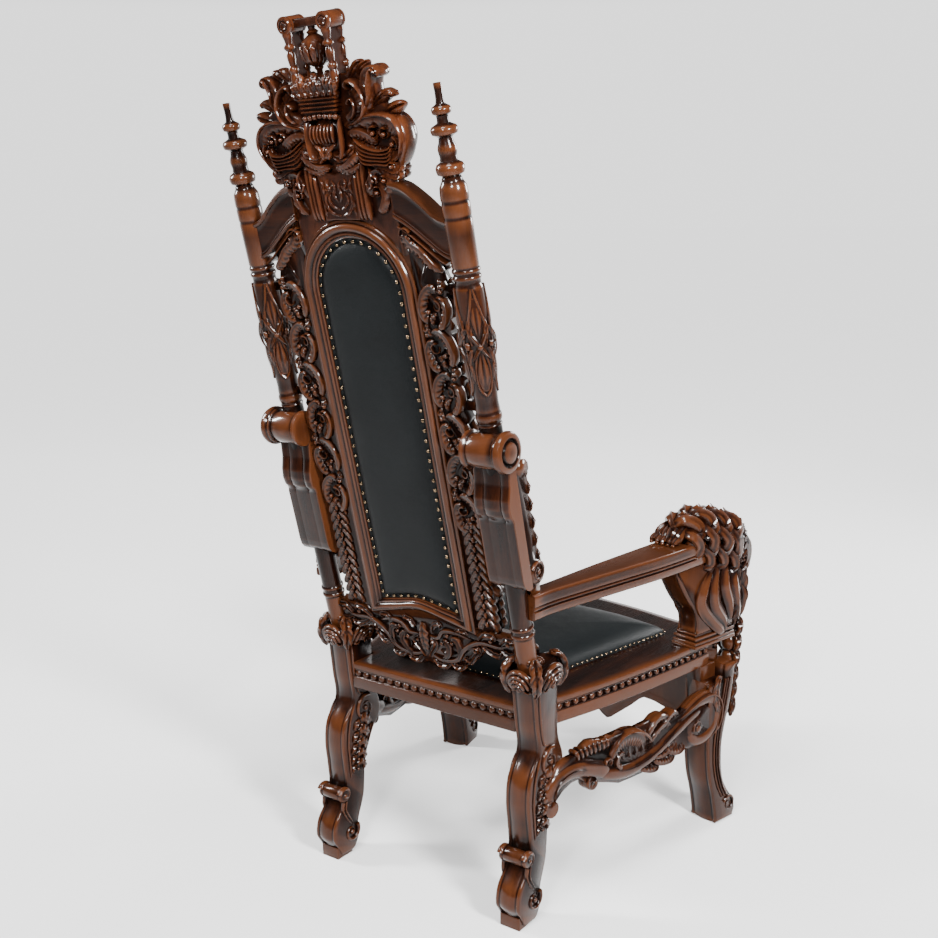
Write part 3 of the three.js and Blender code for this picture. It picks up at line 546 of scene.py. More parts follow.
# %% [markdown]
# ## Leather and nails
# The hide is nearly black with a slate tint, soft in its sheen, with a fine pebbled grain that shows
# only in the light. The nails are domed bronze, brighter where they stand proud.
# %% Leather and bronze
def hide():
    m = Nodes("black_leather")
    pebble = m.add("ShaderNodeTexVoronoi", {"feature": "SMOOTH_F1"},
                   {"Vector": m.place, "Scale": 520.0, "Smoothness": 0.5})
    fine = m.noise(m.place, 700, 3, 0.6)
    cloud = m.noise(m.place, 11, 4, 0.55)
    rub = m.noise(m.place, 42, 4, 0.6)
    colour = m.mix((cloud * 0.8 + fine * 0.5 - 0.2).held(), (0.0014, 0.0018, 0.0020), (0.0042, 0.0054, 0.0058))
    # Painted shade: where the recess number is high, in dimples and hollows, the hide is set to one even slate tone,
    # darker than its lighter patches
    colour = m.mix((m.recess() * 1.1).held(), colour, (0.0025, 0.0035, 0.004))
    roughness = (0.3 + cloud * 0.14 + rub * 0.14).held(0.1, 0.9)
    return m.finish(Base_Color=colour, Roughness=roughness, Normal=m.bump(pebble + rub * 0.7, 0.35, 0.0007),
                    Specular_IOR_Level=0.09)


def bronze():
    m = Nodes("nailhead_bronze")
    tarnish = m.noise(m.place, 180, 3, 0.6)
    colour = m.mix(tarnish, (0.055, 0.036, 0.022), (0.24, 0.17, 0.1))
    return m.finish(Base_Color=colour, Roughness=(0.12 + tarnish * 0.22).held(), Metallic=1.0)


leather, nails = hide(), bronze()
print("soft and metal finishes", leather.name, nails.name)

# %% [markdown]
# ## Turned posts
# Each back post comes off the lathe in one piece: rings, a swelling, a long shaft and a finial of
# discs. A spin of the profile gives the turning. Leaves, crossed bands and berries are then laid on
# the swelling, drawn by their angle and height.
# %% The turning of a post
def ring(t, r, core, h=4.5):
    return [(core, t - h - 1), (r - 0.8, t - h * 0.75), (r, t - h * 0.3), (r, t + h * 0.3), (r - 0.8, t + h * 0.75),
            (core, t + h + 1)]


def disc(t, r, h, low_neck, high_neck):
    turn = [(-1, low_neck, 0), (-0.82, 0.62, 1), (-0.5, 0.93, 1), (-0.12, 1, 1), (0.22, 1, 1), (0.56, 0.9, 1),
            (0.84, 0.6, 1), (1, high_neck, 0)]
    return [(a * r if share else a, t + z * h) for z, a, share in turn]


post_profile = [(22.7, 577.5), (22.7, 656), *ring(665, 25.6, 22.7), *ring(682, 25.6, 22.7), (22.7, 700), (23, 900),
                (23, 1117), *ring(1132, 24.4, 23, 3), *ring(1148, 26, 23.6, 8), (24, 1163), (22.8, 1176), (23.4, 1189)]
post_profile += [(23.6 + 4.9 * math.sin(math.pi * min(u * 0.8, 1)) ** 1.4 + 0.6 * u, 1192 + 211 * u)
                 for u in np.linspace(0, 1, 44)]
post_profile += [(24.2, 1408), *ring(1421, 26.9, 24.6, 4), *ring(1434, 26.9, 24.6, 4), (25.6, 1443), (25.9, 1500),
                 (26.1, 1526), (25, 1531), (26.2, 1536), (26.3, 1555), (25.1, 1560), (26.3, 1565), (26, 1577),
                 (25, 1587), (21, 1594), (18.7, 1598), *disc(1617, 26.4, 16, 18.6, 16.5), (15.4, 1638),
                 (17, 1646), (17.6, 1651), (16.6, 1657), (13.8, 1664), (13, 1669), *disc(1684, 24.7, 12.5, 12.6, 11.2),
                 (10.4, 1703), (10.8, 1707), *disc(1718, 17.8, 11, 10.8, 8.6), (7.2, 1736), (6.9, 1750), (7.6, 1760),
                 (7.4, 1764)]


def on_post(angle, t, out=0.0):
    """A point on the swelling of the post, by its angle and height."""
    r = np.interp(t, [p[1] for p in post_profile], [p[0] for p in post_profile]) + out
    return (POST_X + r * math.cos(angle), r * math.sin(angle), t)


post = bmesh.new()
turned(post, post_profile, Matrix.Translation((POST_X, 0, 0)), 60)
for k in range(4):
    mid = math.pi * (k + 0.5) / 2
    for s in (-1, 1):
        cut = Face(post, lambda a, t, lift: on_post(mid + s * a, t, lift), (math.cos(mid), math.sin(mid), 0))
        cut.stem([(0.03, 1404), (0.3, 1366), (0.55, 1334), (0.5, 1298)], 2.8, 3.4, steady, 0.2, along=24, around=8)
        cut.stem([(0, 1196), (0.4, 1210), (0.52, 1244), (0.3, 1284)], 3, 4, steady, 0.2, along=24, around=8)
        cut.stem([(-0.8, 1330), (-0.4, 1312), (0, 1294), (0.4, 1276), (0.8, 1262)], 4.6, 6, swell, 1.0,
                 ridges=2, along=26, around=12)
        cut.leaf([(0.1, 1300), (0.5, 1318), (0.62, 1346)], 6.5, 5.5, 0.4, lobes=3, around=14, along=14)
        cut.leaf([(0.6, 1290), (0.72, 1258), (0.66, 1222)], 7, 4.5, 0.4, lobes=2, around=14, along=14)
    cut.leaf([(0, t) for t in (1386, 1362, 1336, 1310)], 11, 4, -0.5, lobes=1, around=16, along=18)
    cut.leaf([(0, t) for t in (1206, 1230, 1258, 1284)], 12, 5, -0.5, lobes=1, around=16, along=18)
    cut.berry(0, 1294, (6, 6, 7), 3, 12)
    cut.berry(0.78, 1296, (5.5, 5.5, 8), 2)
print("post profile points", len(post_profile))

# %% [markdown]
# ## Bolster and reeded bracket behind each post
# Behind the post, level with the bolster, sits a bracket with three reeds that swell out and stop
# above a plain tapering block. The bolster is a lathe form lying across, with a dished end. The
# bracket is a grid over its rear face, pushed forward to give it a body.
# %% Bolster, bracket and block
def bracket_rear(t):
    return float(np.interp(t, [778, 784, 794, 808, 880, 934, 941, 950, 966, 986, 1012, 1050],
                           [10, 19, 25, 27, 27.5, 28, 31, 37, 39.5, 36.5, 27, 19]))


def reeds(x, t):
    strength = float(np.interp(t, [780, 930, 944, 1000, 1045], [0.5, 0.6, 5.0, 4.6, 1.6]))
    for low, high in ((-44, -21), (-20, 20), (21, 43)):
        if low <= x <= high:
            u = (x - low) / (high - low)
            return strength * (math.sin(math.pi * u) ** 0.6 - 1)
    return -strength * 1.2


heights = [778 + 272 * i / 80 for i in range(81)]
widths = [-44 + 87 * i / 58 for i in range(59)]
rows = [[(POST_X + x, bracket_rear(t) + reeds(x, t), t) for x in widths] + [(POST_X + 43, -2, t), (POST_X - 44, -2, t)]
        for t in heights]
skin(post, rows)
slab(post, [(POST_X - 26, 790), (POST_X + 26, 790), (POST_X + 26, 1100), (POST_X - 26, 1100)], -23, 6, bevel=3)
lying = Matrix.Translation((POST_X, 20, 1084)) @ Matrix.Rotation(math.pi / 2, 4, "Y")
bolster = [(26, -45), (34, -44.5), (38.5, -42), (39, -37), (36, -34), (33, -32), (34.5, -28), (36, -14), (36.3, 2),
           (35.6, 16), (33.5, 27), (33, 30), (36, 31), (38, 33), (38, 36), (39.5, 38), (42, 41), (42.3, 46), (40, 51),
           (34, 54), (29.5, 54), (27.5, 50), (26, 48), (24, 48), (22.5, 51), (20, 55), (12, 56.5)]
turned(post, bolster, lying, 56)
show("back_post", [into_mesh(post, BACK)], tall, mirrored=True)

# %% [markdown]
# ## Scroll brackets above the arms
# In front of each post a strip of leaves runs down to a volute that stands on the arm. The leaves
# overlap like tiles in two rows, and a row of beads runs down between them.
# %% Leaf strip and volute
strip = bmesh.new()
node_copy(strip, "arm_scroll_left", BACK)
for t in (1050, 1012, 974, 936, 898, 862):
    for s in (-1, 1):
        leaf(strip, [(POST_X + 8 * s, -30, t + 6), (POST_X + 15 * s, -47, t - 12), (POST_X + 26 * s, -53, t - 34),
                     (POST_X + 33 * s, -44, t - 44)], 13, 6, up=(0, -1, 0.3), lobes=3)
    ball(strip, (POST_X, -50, t - 8), (7, 7, 10))
for x in (POST_X - 42, POST_X + 42):
    cut = side_face(strip, x, 1)
    cut.coil((-27, 803), 23, 1.6, 0.6, 4.6, 4.6, along=50, around=10)
    cut.berry(-27, 803, (5, 6.5, 6.5), n=12)
show("arm_scroll", [into_mesh(strip, BACK)], carved, mirrored=True)

# %% [markdown]
# ## Moulded frame of the back
# The frame is a rounded arch with a stepped moulding. The same arch is drawn at each step of the
# moulding, a little further in and at its own depth, and the grid is wrapped over the steps.
# %% Arch lines and the frame
ARCH_T = 1387.0


def arch(half, low, lift, count=40):
    foot = spline([(-half, low), (-half * 0.6, low + lift * 0.45), (0, low + lift), (half * 0.6, low + lift * 0.45),
                   (half, low)], 24)[:-1]
    sides = [(half, low + (ARCH_T - low) * k / 24) for k in range(24)]
    round_top = [(half * math.cos(math.pi * k / count), ARCH_T + half * math.sin(math.pi * k / count))
                 for k in range(count + 1)]
    return [*map(tuple, foot), *sides, *round_top, *[(-x, t) for x, t in reversed(sides[1:])]]


def arch_row(inset, n):
    """The arch a number of millimetres inside the frame's outer edge."""
    low, lift = 641 + inset * 1.09, 33 - inset * 0.38
    return [(x, n, t) for x, t in arch(145 - inset, low, lift)]


moulding = [(0, 8), (1.2, 9.6), (5.5, 9.8), (6.6, 8.6), (7.2, 9.4), (8.4, 13.5), (11.5, 16.4), (15.5, 17), (19.5, 15.8),
            (22.6, 12.8), (24, 11.4), (25.2, 11.6), (27, 13), (29.6, 13), (31.4, 11), (32.2, 8.6), (34.5, 7.6),
            (36.2, 6.4)]
front = [(d, -n - 8) for d, n in reversed(moulding)]
around_frame = [arch_row(d, n) for d, n in [*moulding, *front, moulding[0]]]
border = bmesh.new()
skin(border, around_frame, caps=False)
show("back_frame", [into_mesh(border, BACK)], tall)

# %% [markdown]
# ## Leather panel of the back
# Leather is stretched over a thin pad and nailed round its edge. It rises quickly from the nails and
# is nearly flat in the middle. The arch is drawn smaller and smaller, each time a little higher, and a
# dimple is pressed in at every nail.
# %% Panel and its nails
def ring_rows(outline_at, insets, height):
    return [[(x, height(d), t) for x, t in outline_at(d)] for d in insets]


def panel_arch(d):
    return arch(108.2 - d, 681 + d * 1.02, 19 * (1 - d / 108.2))


def evenly(points, pitch):
    """Places spaced evenly round a closed line."""
    p = np.array([*points, points[0]], float)
    length = np.concatenate([[0], np.cumsum(np.linalg.norm(np.diff(p, axis=0), axis=1))])
    count = round(length[-1] / pitch)
    at = np.arange(count) * length[-1] / count
    return np.stack([np.interp(at, length, p[:, k]) for k in range(p.shape[1])], 1)


def puff(d, full, run):
    return full * (1 - math.exp(-d / run))


def panel_rear(d):
    return 4.5 + puff(max(d - 7, 0), 9, 16) - 1.2 * math.exp(-(((d - 6.5) / 2.4) ** 2))


def panel_front(d):
    return -12 - puff(max(d - 7, 0), 12, 18)


insets = [0, 1, 2.2, 3.6, 5, 6.5, 8, 9.5, 11, 13, 15, 18, 22, 27, 33, 40, 48, 57, 66, 76, 86, 95, 101, 105]
panel = bmesh.new()
skin(panel, ring_rows(panel_arch, insets[::-1], panel_front) + ring_rows(panel_arch, insets, panel_rear))
panel_nails = evenly(panel_arch(6.5), 21.8)
for v in panel.verts:
    near = np.hypot(panel_nails[:, 0] - v.co.x, panel_nails[:, 1] - v.co.z).min()
    pressed = 2.6 * math.exp(-((near / 7.5) ** 2))
    v.co.y -= pressed if v.co.y > 0 else -pressed
back_leather = show("back_panel", [into_mesh(panel, BACK)], leather, crease=60)


def studs(bm, places, radius, out):
    for at in places:
        part = bmesh.new()
        bmesh.ops.create_uvsphere(part, u_segments=12, v_segments=8, radius=1)
        low = [v for v in part.verts if v.co.z < -0.1]
        bmesh.ops.scale(part, verts=low, vec=(1, 1, 0.3))
        turn = Vector((0, 0, 1)).rotation_difference(Vector(out)).to_matrix().to_4x4()
        pour(bm, part, Matrix.Translation(at) @ turn @ Matrix.Diagonal((radius, radius, radius * 0.75, 1)))


stud = bmesh.new()
studs(stud, [(x, 5.6, t) for x, t in panel_nails], 4.3, (0, 1, 0))
studs(stud, [(x, -13.2, t) for x, t in panel_nails], 4.6, (0, -1, 0))
show("back_nails", [into_mesh(stud, BACK)], nails, crease=80, extra=True)
print("nails in the back", 2 * len(panel_nails))

# %% [markdown]
# ## Arched rails beside the crest
# Two broad rails curve down from the crest to the posts. They are plain boards with a raised bead
# along both edges, which catches the light.
# %% Rails with beads
rail_top = spline([(126, 1602), (155, 1593), (190, 1568), (222, 1540), (246, 1530)], 30)
rail_low = spline([(126, 1532), (160, 1512), (196, 1484), (225, 1462), (246, 1452)], 30)
wing = bmesh.new()
low_bead = [(0, 9), (0.6, 13.5), (3, 15.5), (6, 15.8), (8.6, 14.4), (9.4, 12.6), (10.6, 14), (12.4, 14.2), (14, 12.8),
            (16, 12.4)]
top_bead = [(15, 12.4), (13, 13.2), (11, 16.6), (6.5, 18.4), (2, 16.6), (0.2, 12)]
wing_rows = []
for (x0, t0), (x1, t1) in zip(rail_low, rail_top):
    wide = math.hypot(x1 - x0, t1 - t0)
    rear = low_bead + [(16 + (wide - 32) * k / 6, 12.6) for k in range(1, 6)] + [(wide - d, n) for d, n in top_bead]
    loop = rear + [(d, -n - 6) for d, n in reversed(rear)]
    wing_rows.append([(x0 + (x1 - x0) * d / wide, n, t0 + (t1 - t0) * d / wide) for d, n in loop])
skin(wing, wing_rows)
show("crest_rail", [into_mesh(wing, BACK)], across, mirrored=True)

# %% [markdown]
# ## Carved crest
# A reeded shield panel carries a helm with a barred visor, a ringed coronet and curling acanthus to
# both sides. Above it two short rolls lie on turned columns, with an urn between them. The leaves are
# laid out in pairs, left and right, on both faces of a core plate, and they run into each other.
# %% Leaves of the crest
crest = bmesh.new()
under_arch = [(145.8 * math.sin(a), ARCH_T + 145.8 * math.cos(a)) for a in np.linspace(0, 1.04, 14)]
core_side = spline([(128, 1604), (150, 1622), (170, 1650), (176, 1690), (160, 1722), (135, 1742), (124, 1772),
                    (100, 1790), (40, 1796)], 36)
plate(crest, mirror([*under_arch, (127, 1500), (127, 1550), *core_side]), -11, 5, (0, 1640))
broad = [
    ([(92, 1542), (106, 1554), (116, 1574), (112, 1594), (100, 1600), (94, 1590)], 10, 13, 6, 1),
    ([(116, 1576), (130, 1590), (134, 1606), (124, 1618), (114, 1610)], 9, 12, 5, 1),
    ([(80, 1574), (84, 1596), (96, 1614), (110, 1618), (112, 1608)], 9, 15, 5, 1),
    ([(98, 1634), (118, 1622), (136, 1614), (150, 1611), (156, 1620)], 9, 12, 7, -1),
    ([(68, 1654), (96, 1640), (124, 1632), (148, 1624), (162, 1632)], 12, 13, 9, -1),
    ([(54, 1676), (84, 1660), (118, 1650), (148, 1650), (166, 1662)], 15, 15, 11, -1),
    ([(44, 1702), (84, 1709), (124, 1711), (154, 1702), (168, 1684), (166, 1664)], 14, 15, 11, 1),
    ([(52, 1690), (78, 1690), (100, 1682), (116, 1670)], 11, 17, 7, 1),
    ([(52, 1714), (74, 1722), (89, 1738), (87, 1758), (74, 1768)], 12, 15, 9, 1),
    ([(98, 1722), (113, 1746), (113, 1774), (122, 1793), (137, 1794), (140, 1783)], 11, 15, 8, 1),
]
rims = [
    ([(44, 1703), (84, 1716), (126, 1721), (156, 1716), (173, 1702), (179, 1680), (172, 1656), (158, 1638)], 4.6, 20),
    ([(46, 1704), (80, 1710), (101, 1723), (109, 1748), (99, 1771), (80, 1783), (69, 1776), (74, 1765)], 5, 22),
    ([(104, 1728), (119, 1752), (122, 1776), (134, 1798), (145, 1788)], 4, 19),
    ([(86, 1630), (94, 1612), (88, 1590), (80, 1600), (86, 1608)], 4, 18),
    ([(62, 1712), (78, 1722), (86, 1738), (80, 1752), (70, 1746), (74, 1738)], 4.4, 21),
]
outer_leaves = [
    ([(104, 1728), (130, 1744), (152, 1754), (170, 1750)], 12),
    ([(126, 1714), (152, 1724), (172, 1731), (186, 1734)], 13),
    ([(66, 1776), (82, 1798), (94, 1809), (103, 1813)], 11),
    ([(88, 1786), (100, 1800), (110, 1808), (118, 1812)], 9),
]
for s in (-1, 1):
    edge = upright(crest, -3, 1, s)
    for points, wide in outer_leaves:
        edge.leaf(points, wide, 15, lobes=1, bite=0.1, under=1)
    edge.stem([(148, 1714), (168, 1707), (178, 1688), (178, 1664), (167, 1642), (154, 1624)], 8, 20, along=40)
    edge.stem([(112, 1782), (124, 1796), (140, 1796), (146, 1784)], 7, 18)
    edge.stem([(136, 1746), (154, 1755), (168, 1752)], 6, 14)
    for n, face in ((5, 1), (-11, -1)):
        cut = upright(crest, n, face, s)
        for points, wide, deep, ribs, rim in broad:
            cut.comb(points, wide, deep, ribs, rim * s * face)
        for points, wide, deep in rims:
            cut.stem(points, wide, deep, along=38, around=12)
        for k in range(5):
            cut.stem([(60 + 2 * k, 1686 - 9 * k), (86, 1668 - 8 * k), (118, 1658 - 6 * k), (146 - 2 * k, 1660 - 7 * k),
                      (158 - 3 * k, 1672 - 8 * k)], 3.1, 17, lift=3, around=10)
        for x, t, r, sign in ((116, 1689, 13, 1), (141, 1686, 12, 1), (157, 1668, 13, -1), (100, 1582, 12, 1),
                              (122, 1604, 9, 1), (96, 1604, 10, -1), (146, 1628, 8, 1)):
            cut.coil((x, t), r, 1.2, 1.2, 3.6, 17, sign, 16, lift=2, along=28, around=12)
            cut.berry(x, t, (4.2, 6, 4.2), 14)
print("leaves in the crest", len(crest.verts))

# %% [markdown]
# The shield panel is a smooth plate with leaf tracery between pairs of reeds, and the helm is an oval
# with upright bars and a folded drapery under it.
# %% Shield, helm and coronet
shield = [(-43, 1532), (-22, 1533), (0, 1533), (22, 1533), (43, 1532), (44, 1560), (45, 1590), (46, 1618), (30, 1626),
          (14, 1621), (0, 1618), (-14, 1621), (-30, 1626), (-46, 1618), (-45, 1590), (-44, 1560)]
tracery = [
    ([(3, 1540), (20, 1545), (32, 1560), (32, 1578), (22, 1584)], 4.2),
    ([(2, 1552), (16, 1558), (24, 1572), (16, 1586)], 3.8),
    ([(2, 1566), (9, 1580), (5, 1596), (12, 1608)], 3.6),
    ([(16, 1588), (24, 1600), (20, 1612)], 3.6),
    ([(36, 1582), (34, 1598), (40, 1612)], 3.6),
    ([(38, 1540), (37, 1556), (40, 1570)], 3),
    ([(10, 1598), (22, 1590), (34, 1592)], 3),
]
for n, face in ((9, 1), (-14, -1)):
    up = (0, face, 0)
    plate(crest, shield, min(n, n + 5 * face), max(n, n + 5 * face), (0, 1578))
    for s in (-1, 1):
        cut = upright(crest, n, face, s)
        for x, t, wide in ((50, 1620, 4.4), (59, 1636, 5.2), (69, 1640, 5.2)):
            cut.stem([(x, 1530), (x + 1, 1580), (x + 2, t)], wide, 10, lift=2, along=16)
        for points, wide in tracery:
            cut.leaf(points, wide, 6, 3.5, lobes=2, around=14, along=16)
        cut.comb([(74, 1656), (52, 1640), (30, 1630), (8, 1632)], 9, 14, 9, -s * face, 2)
        cut.comb([(72, 1636), (54, 1626), (34, 1622), (16, 1628)], 6, 12, 6, -s * face, 1)
        cut.leaf([(6, 1662), (24, 1648), (46, 1652), (60, 1664), (52, 1674)], 10, 15, 3)
        stem(crest, [(37 * s, 10 * face, 1724), (38 * s, 17 * face, 1696), (36 * s, 18 * face, 1662),
                     (28 * s, 17 * face, 1648)], 5.5, 13, up=(s * 0.5, face, 0), taper=blunt, along=24)
        stem(crest, [(0, 27 * face, 1650), (12 * s, 25 * face, 1666), (27 * s, 21 * face, 1676)], 4, 6, up=up,
             taper=blunt, along=14, around=10)
        leaf(crest, [(3 * s, 20 * face, 1670), (8 * s, 25 * face, 1660), (5 * s, 24 * face, 1648)], 6, 8, up=up,
             lobes=2, around=14, along=14)
    ball(crest, (0, 0, 1690), (36, 25, 42), 22)
    for k in range(-3, 4):
        stem(crest, [(k * 8.4, 20 * face, 1676), (k * 9, 26 * face, 1694), (k * 8.6, 20 * face, 1712)], 2.8, 7,
             up=up, taper=blunt, along=12, around=10)
        ball(crest, (k * 12.4, 22 * face, 1727 - abs(k)), (5.6, 6.4, 5.6), 12)
for i, t in enumerate((1736, 1743.5, 1751, 1758)):
    stem(crest, [(-42 - i, 0, t), (-20, 0, t), (20, 0, t), (42 + i, 0, t)], 3.9, 28, taper=steady, along=8)
slab(crest, [(-39, 1730), (39, 1730), (43, 1768), (-43, 1768)], -21, 21)
for k, x in enumerate((-46, -31, -15, 0, 15, 31, 46)):
    for n, face in ((12, 1), (-12, -1)):
        high = 1794 + 7 * (k % 2)
        leaf(crest, [(x * 0.9, n, 1758), (x * 0.98, n + 9 * face, 1774), (x * 1.08, n + 8 * face, high - 8),
                     (x * 1.16, n + 1 * face, high)], 11, 10, up=(0, face, 0), lobes=3)
        leaf(crest, [(x * 0.9 + 8, n, 1756), (x * 0.98 + 8, n + 10 * face, 1766), (x + 8, n + 9 * face, 1774)], 5, 8,
             up=(0, face, 0), lobes=1, around=12, along=12)
print("crest vertices", len(crest.verts))

# %% [markdown]
# The top stands free: four thin columns, two rolls and an urn. They stay as clean turned forms, drawn
# apart from the carving, so that the gaps between them stay open.
# %% Rolls, columns and urn
top = bmesh.new()
column = [(8, 1786), (8.5, 1800), (7, 1806), (9.5, 1811), (9.5, 1815), (6.2, 1820), (7.8, 1830), (8.2, 1838),
          (5.8, 1845), (10.5, 1850), (10.5, 1853), (6, 1858), (7.5, 1866), (9.5, 1872), (9.5, 1878)]
short_roll = [(16, 14), (15.4, 16), (16.4, 18), (16.2, 22.5), (14.5, 24), (10.5, 24), (9.5, 22.5), (8, 22.5), (6, 24),
              (4, 23)]
for x in (-48, 48):
    for n in (-17, 17):
        turned(top, column, Matrix.Translation((x, n, 0)), 24)
    slab(top, [(x - 5, 1796), (x + 5, 1796), (x + 5, 1880), (x - 5, 1880)], -13, 13)
    lie = Matrix.Translation((x, 0, 1889.5)) @ Matrix.Rotation(math.pi / 2, 4, "X")
    turned(top, both_ends(short_roll), lie, 40)
slab(top, [(-40, 1883), (40, 1883), (40, 1899), (-40, 1899)], -11, 11, bevel=2.5)
turned(top, [(5, 1790), (6, 1806), (9, 1810), (7, 1815), (16, 1822), (24, 1834), (26.5, 1846), (24, 1857), (15, 1865),
             (9, 1869), (12, 1873), (7, 1877), (8, 1884)], steps=40)
for k in range(12):
    a = 2 * math.pi * k / 12
    out = Vector((math.cos(a), math.sin(a)))
    leaf(top, [(out.x * 9, out.y * 9, 1814), (out.x * 23, out.y * 23, 1826), (out.x * 28, out.y * 28, 1842),
               (out.x * 27, out.y * 27, 1852)], 6, 3, up=(out.x, out.y, 0.1), lobes=2, around=14, along=14)
show("crest", [into_mesh(crest, BACK), into_mesh(top, BACK)], crest_painted_bright)

# %% [markdown]
# ## Pierced borders
# Between the frame and each post runs a pierced border. The solid model's own pierced board is the
# ground. On both of its faces lie rolled leaves that curl round the openings, with volutes and berries
# between them, and below them a chain of small paired leaves.
# %% Leaves of a border
fret = bmesh.new()
node_copy(fret, "fretwork_left", BACK)
for n, face in ((3, 1), (-17, -1)):
    board_face = upright(fret, n, face)
    for i in range(6):
        x, t, s = 181, 934 + 86 * i, 1 if i % 2 else -1
        cut = upright(fret, n, face, s, x, t)
        cut.comb([(-20, -34), (-26, -8), (-18, 20), (0, 34), (12, 28)], 11, 14, 9, s * face)
        cut.comb([(4, -44), (20, -30), (27, -6), (20, 12), (10, 10)], 10, 15, 8, -s * face)
        board_face.coil((x + 8 * s, t + 2), 13, 1.2, 1.4, 3.4, 16, -s, 16, along=32, around=10)
        for a, b in ((-6, -24), (-12, -10), (24, 30)):
            cut.berry(a, b, (5, 6, 5), 8)
        cut.leaf([(-8, -36), (-2, -18), (8, -14)], 7, 16, lobes=3, around=14, along=14)
        cut.leaf([(14, 26), (26, 40), (20, 54)], 8, 14, lobes=3, around=14, along=14)
    for i in range(11):
        x, t = 184, 668 + 22 * i
        for s in (-1, 1):
            cut = upright(fret, n, face, s, x, t)
            cut.comb([(2, 20), (8, 16), (17, 3), (20, -10)], 7.5, 12, 4, s * face, along=24)
        board_face.berry(x, t + 8, (3.6, 5, 7), 8)
    board_face.comb([(212, 1430), (190, 1448), (170, 1470), (150, 1482), (138, 1500), (150, 1508)], 12, 15, 11,
                    -face)
    board_face.stem([(x - 4, t - 10) for x, t in rail_low[2:-2:3]], 3.4, 12, steady, along=40)
    board_face.coil((142, 1500), 16, 1.3, 0.4, 3.6, 15, along=36)
    for k in range(6):
        board_face.berry(152 + 9 * k, 1494 - 8 * k - k * k * 0.5, (4.6, 5, 4.6), 9)
show("fretwork", [into_mesh(fret, BACK)], carved, mirrored=True)

# %% [markdown]
# ## Pierced apron under the back
# The apron is a fringe of small ridged leaves and berries on two long scrolls that meet in the middle.
# %% Apron
apron = bmesh.new()
node_copy(apron, "back_apron", BACK)
fringe = [
    (9, 13, (6, 556), (14, 572), (28, 592), (20, 606), (12, 598)),
    (10, 13, (40, 552), (58, 570), (66, 592), (56, 606), (48, 594)),
    (10, 13, (84, 562), (96, 584), (92, 612), (78, 616), (76, 604)),
    (9, 12, (112, 590), (128, 606), (146, 606), (142, 590)),
    (9, 12, (60, 560), (76, 546), (92, 546), (100, 558)),
    (9, 12, (16, 552), (30, 540), (50, 542), (58, 552)),
    (9, 12, (104, 574), (120, 570), (132, 584), (150, 600)),
    (9, 12, (148, 626), (170, 644), (192, 644), (186, 630)),
    (9, 12, (158, 616), (178, 604), (200, 600), (212, 610)),
    (9, 11, (206, 628), (224, 644), (242, 642), (236, 630)),
    (8, 11, (206, 616), (226, 608), (242, 612)),
    (8, 11, (24, 628), (34, 642), (50, 646), (48, 634)),
    (8, 11, (84, 630), (100, 642), (118, 640), (112, 630)),
]
for n, face in ((4, 1), (-18, -1)):
    for s in (-1, 1):
        cut = upright(apron, n, face, s)
        cut.stem([(6, 566), (40, 556), (84, 566), (112, 600), (156, 624), (206, 622), (236, 636)], 6.5, 11, swell,
                 ridges=3, along=44)
        cut.stem([(12, 610), (40, 612), (58, 632), (92, 634), (128, 622)], 5.5, 11, swell, ridges=3, along=30)
        for wide, deep, *points in fringe:
            cut.leaf(points, wide, deep, ridges=2 if wide < 10 else 3)
        for x, t in ((20, 596), (48, 598), (77, 606), (66, 622), (138, 598), (184, 634), (228, 634)):
            cut.berry(x, t, (5, 5, 5), 6)
    leaf(apron, [(0, n, 640), (0, n + 3 * face, 612), (0, n + 2 * face, 584), (0, n, 558)], 14, 12,
         up=(0, face, 0), lobes=5)
show("back_apron", [into_mesh(apron, BACK)], carved)

# %% [markdown]
# ## Seat board and rails
# The board overhangs the rails a little and has a softened edge. Each rail is a plain band under a
# channel, and a row of round beads sits in the channel. The beads are balls, evenly spaced.
# %% Plan lines of the seat
REAR_EDGE, LEG_IN, LEG_OUT, BEAD_Z = -73.0, 230.8, 292.6, 453.0
side_line = spline([(279, -159), (317, -281), (350, -416), (379, -555), (401, -693)], 20)
front_line = spline([(401, -693), (388, -727), (330, -745), (267, -756), (140, -788), (0, -812)], 30)
half = [(LEG_IN - 0.4, REAR_EDGE), (LEG_IN - 0.4, -150), (279, -150), *side_line, *front_line[1:]]
board = bmesh.new()
board_line, seat_middle = np.array(mirror(half)), np.array([0, -440.0])
board_rings = []
for z, edge in ((461.7, 3), (462.5, 1), (464.5, 0), (473, 0), (475, 0.8), (476, 3)):
    pull = 1 - edge / np.linalg.norm(board_line - seat_middle, axis=1)[:, None]
    board_rings.append([(*p, z) for p in seat_middle + (board_line - seat_middle) * pull])
for k in (0.94, 0.87, 0.8, 0.7, 0.5):
    flat = seat_middle + (board_line - seat_middle) * k
    board_rings = [[(*p, 461.7) for p in flat]] + board_rings + [[(*p, 476) for p in flat]]
skin(board, board_rings)
show("seat_board", [into_mesh(board, CHAIR)], fore)


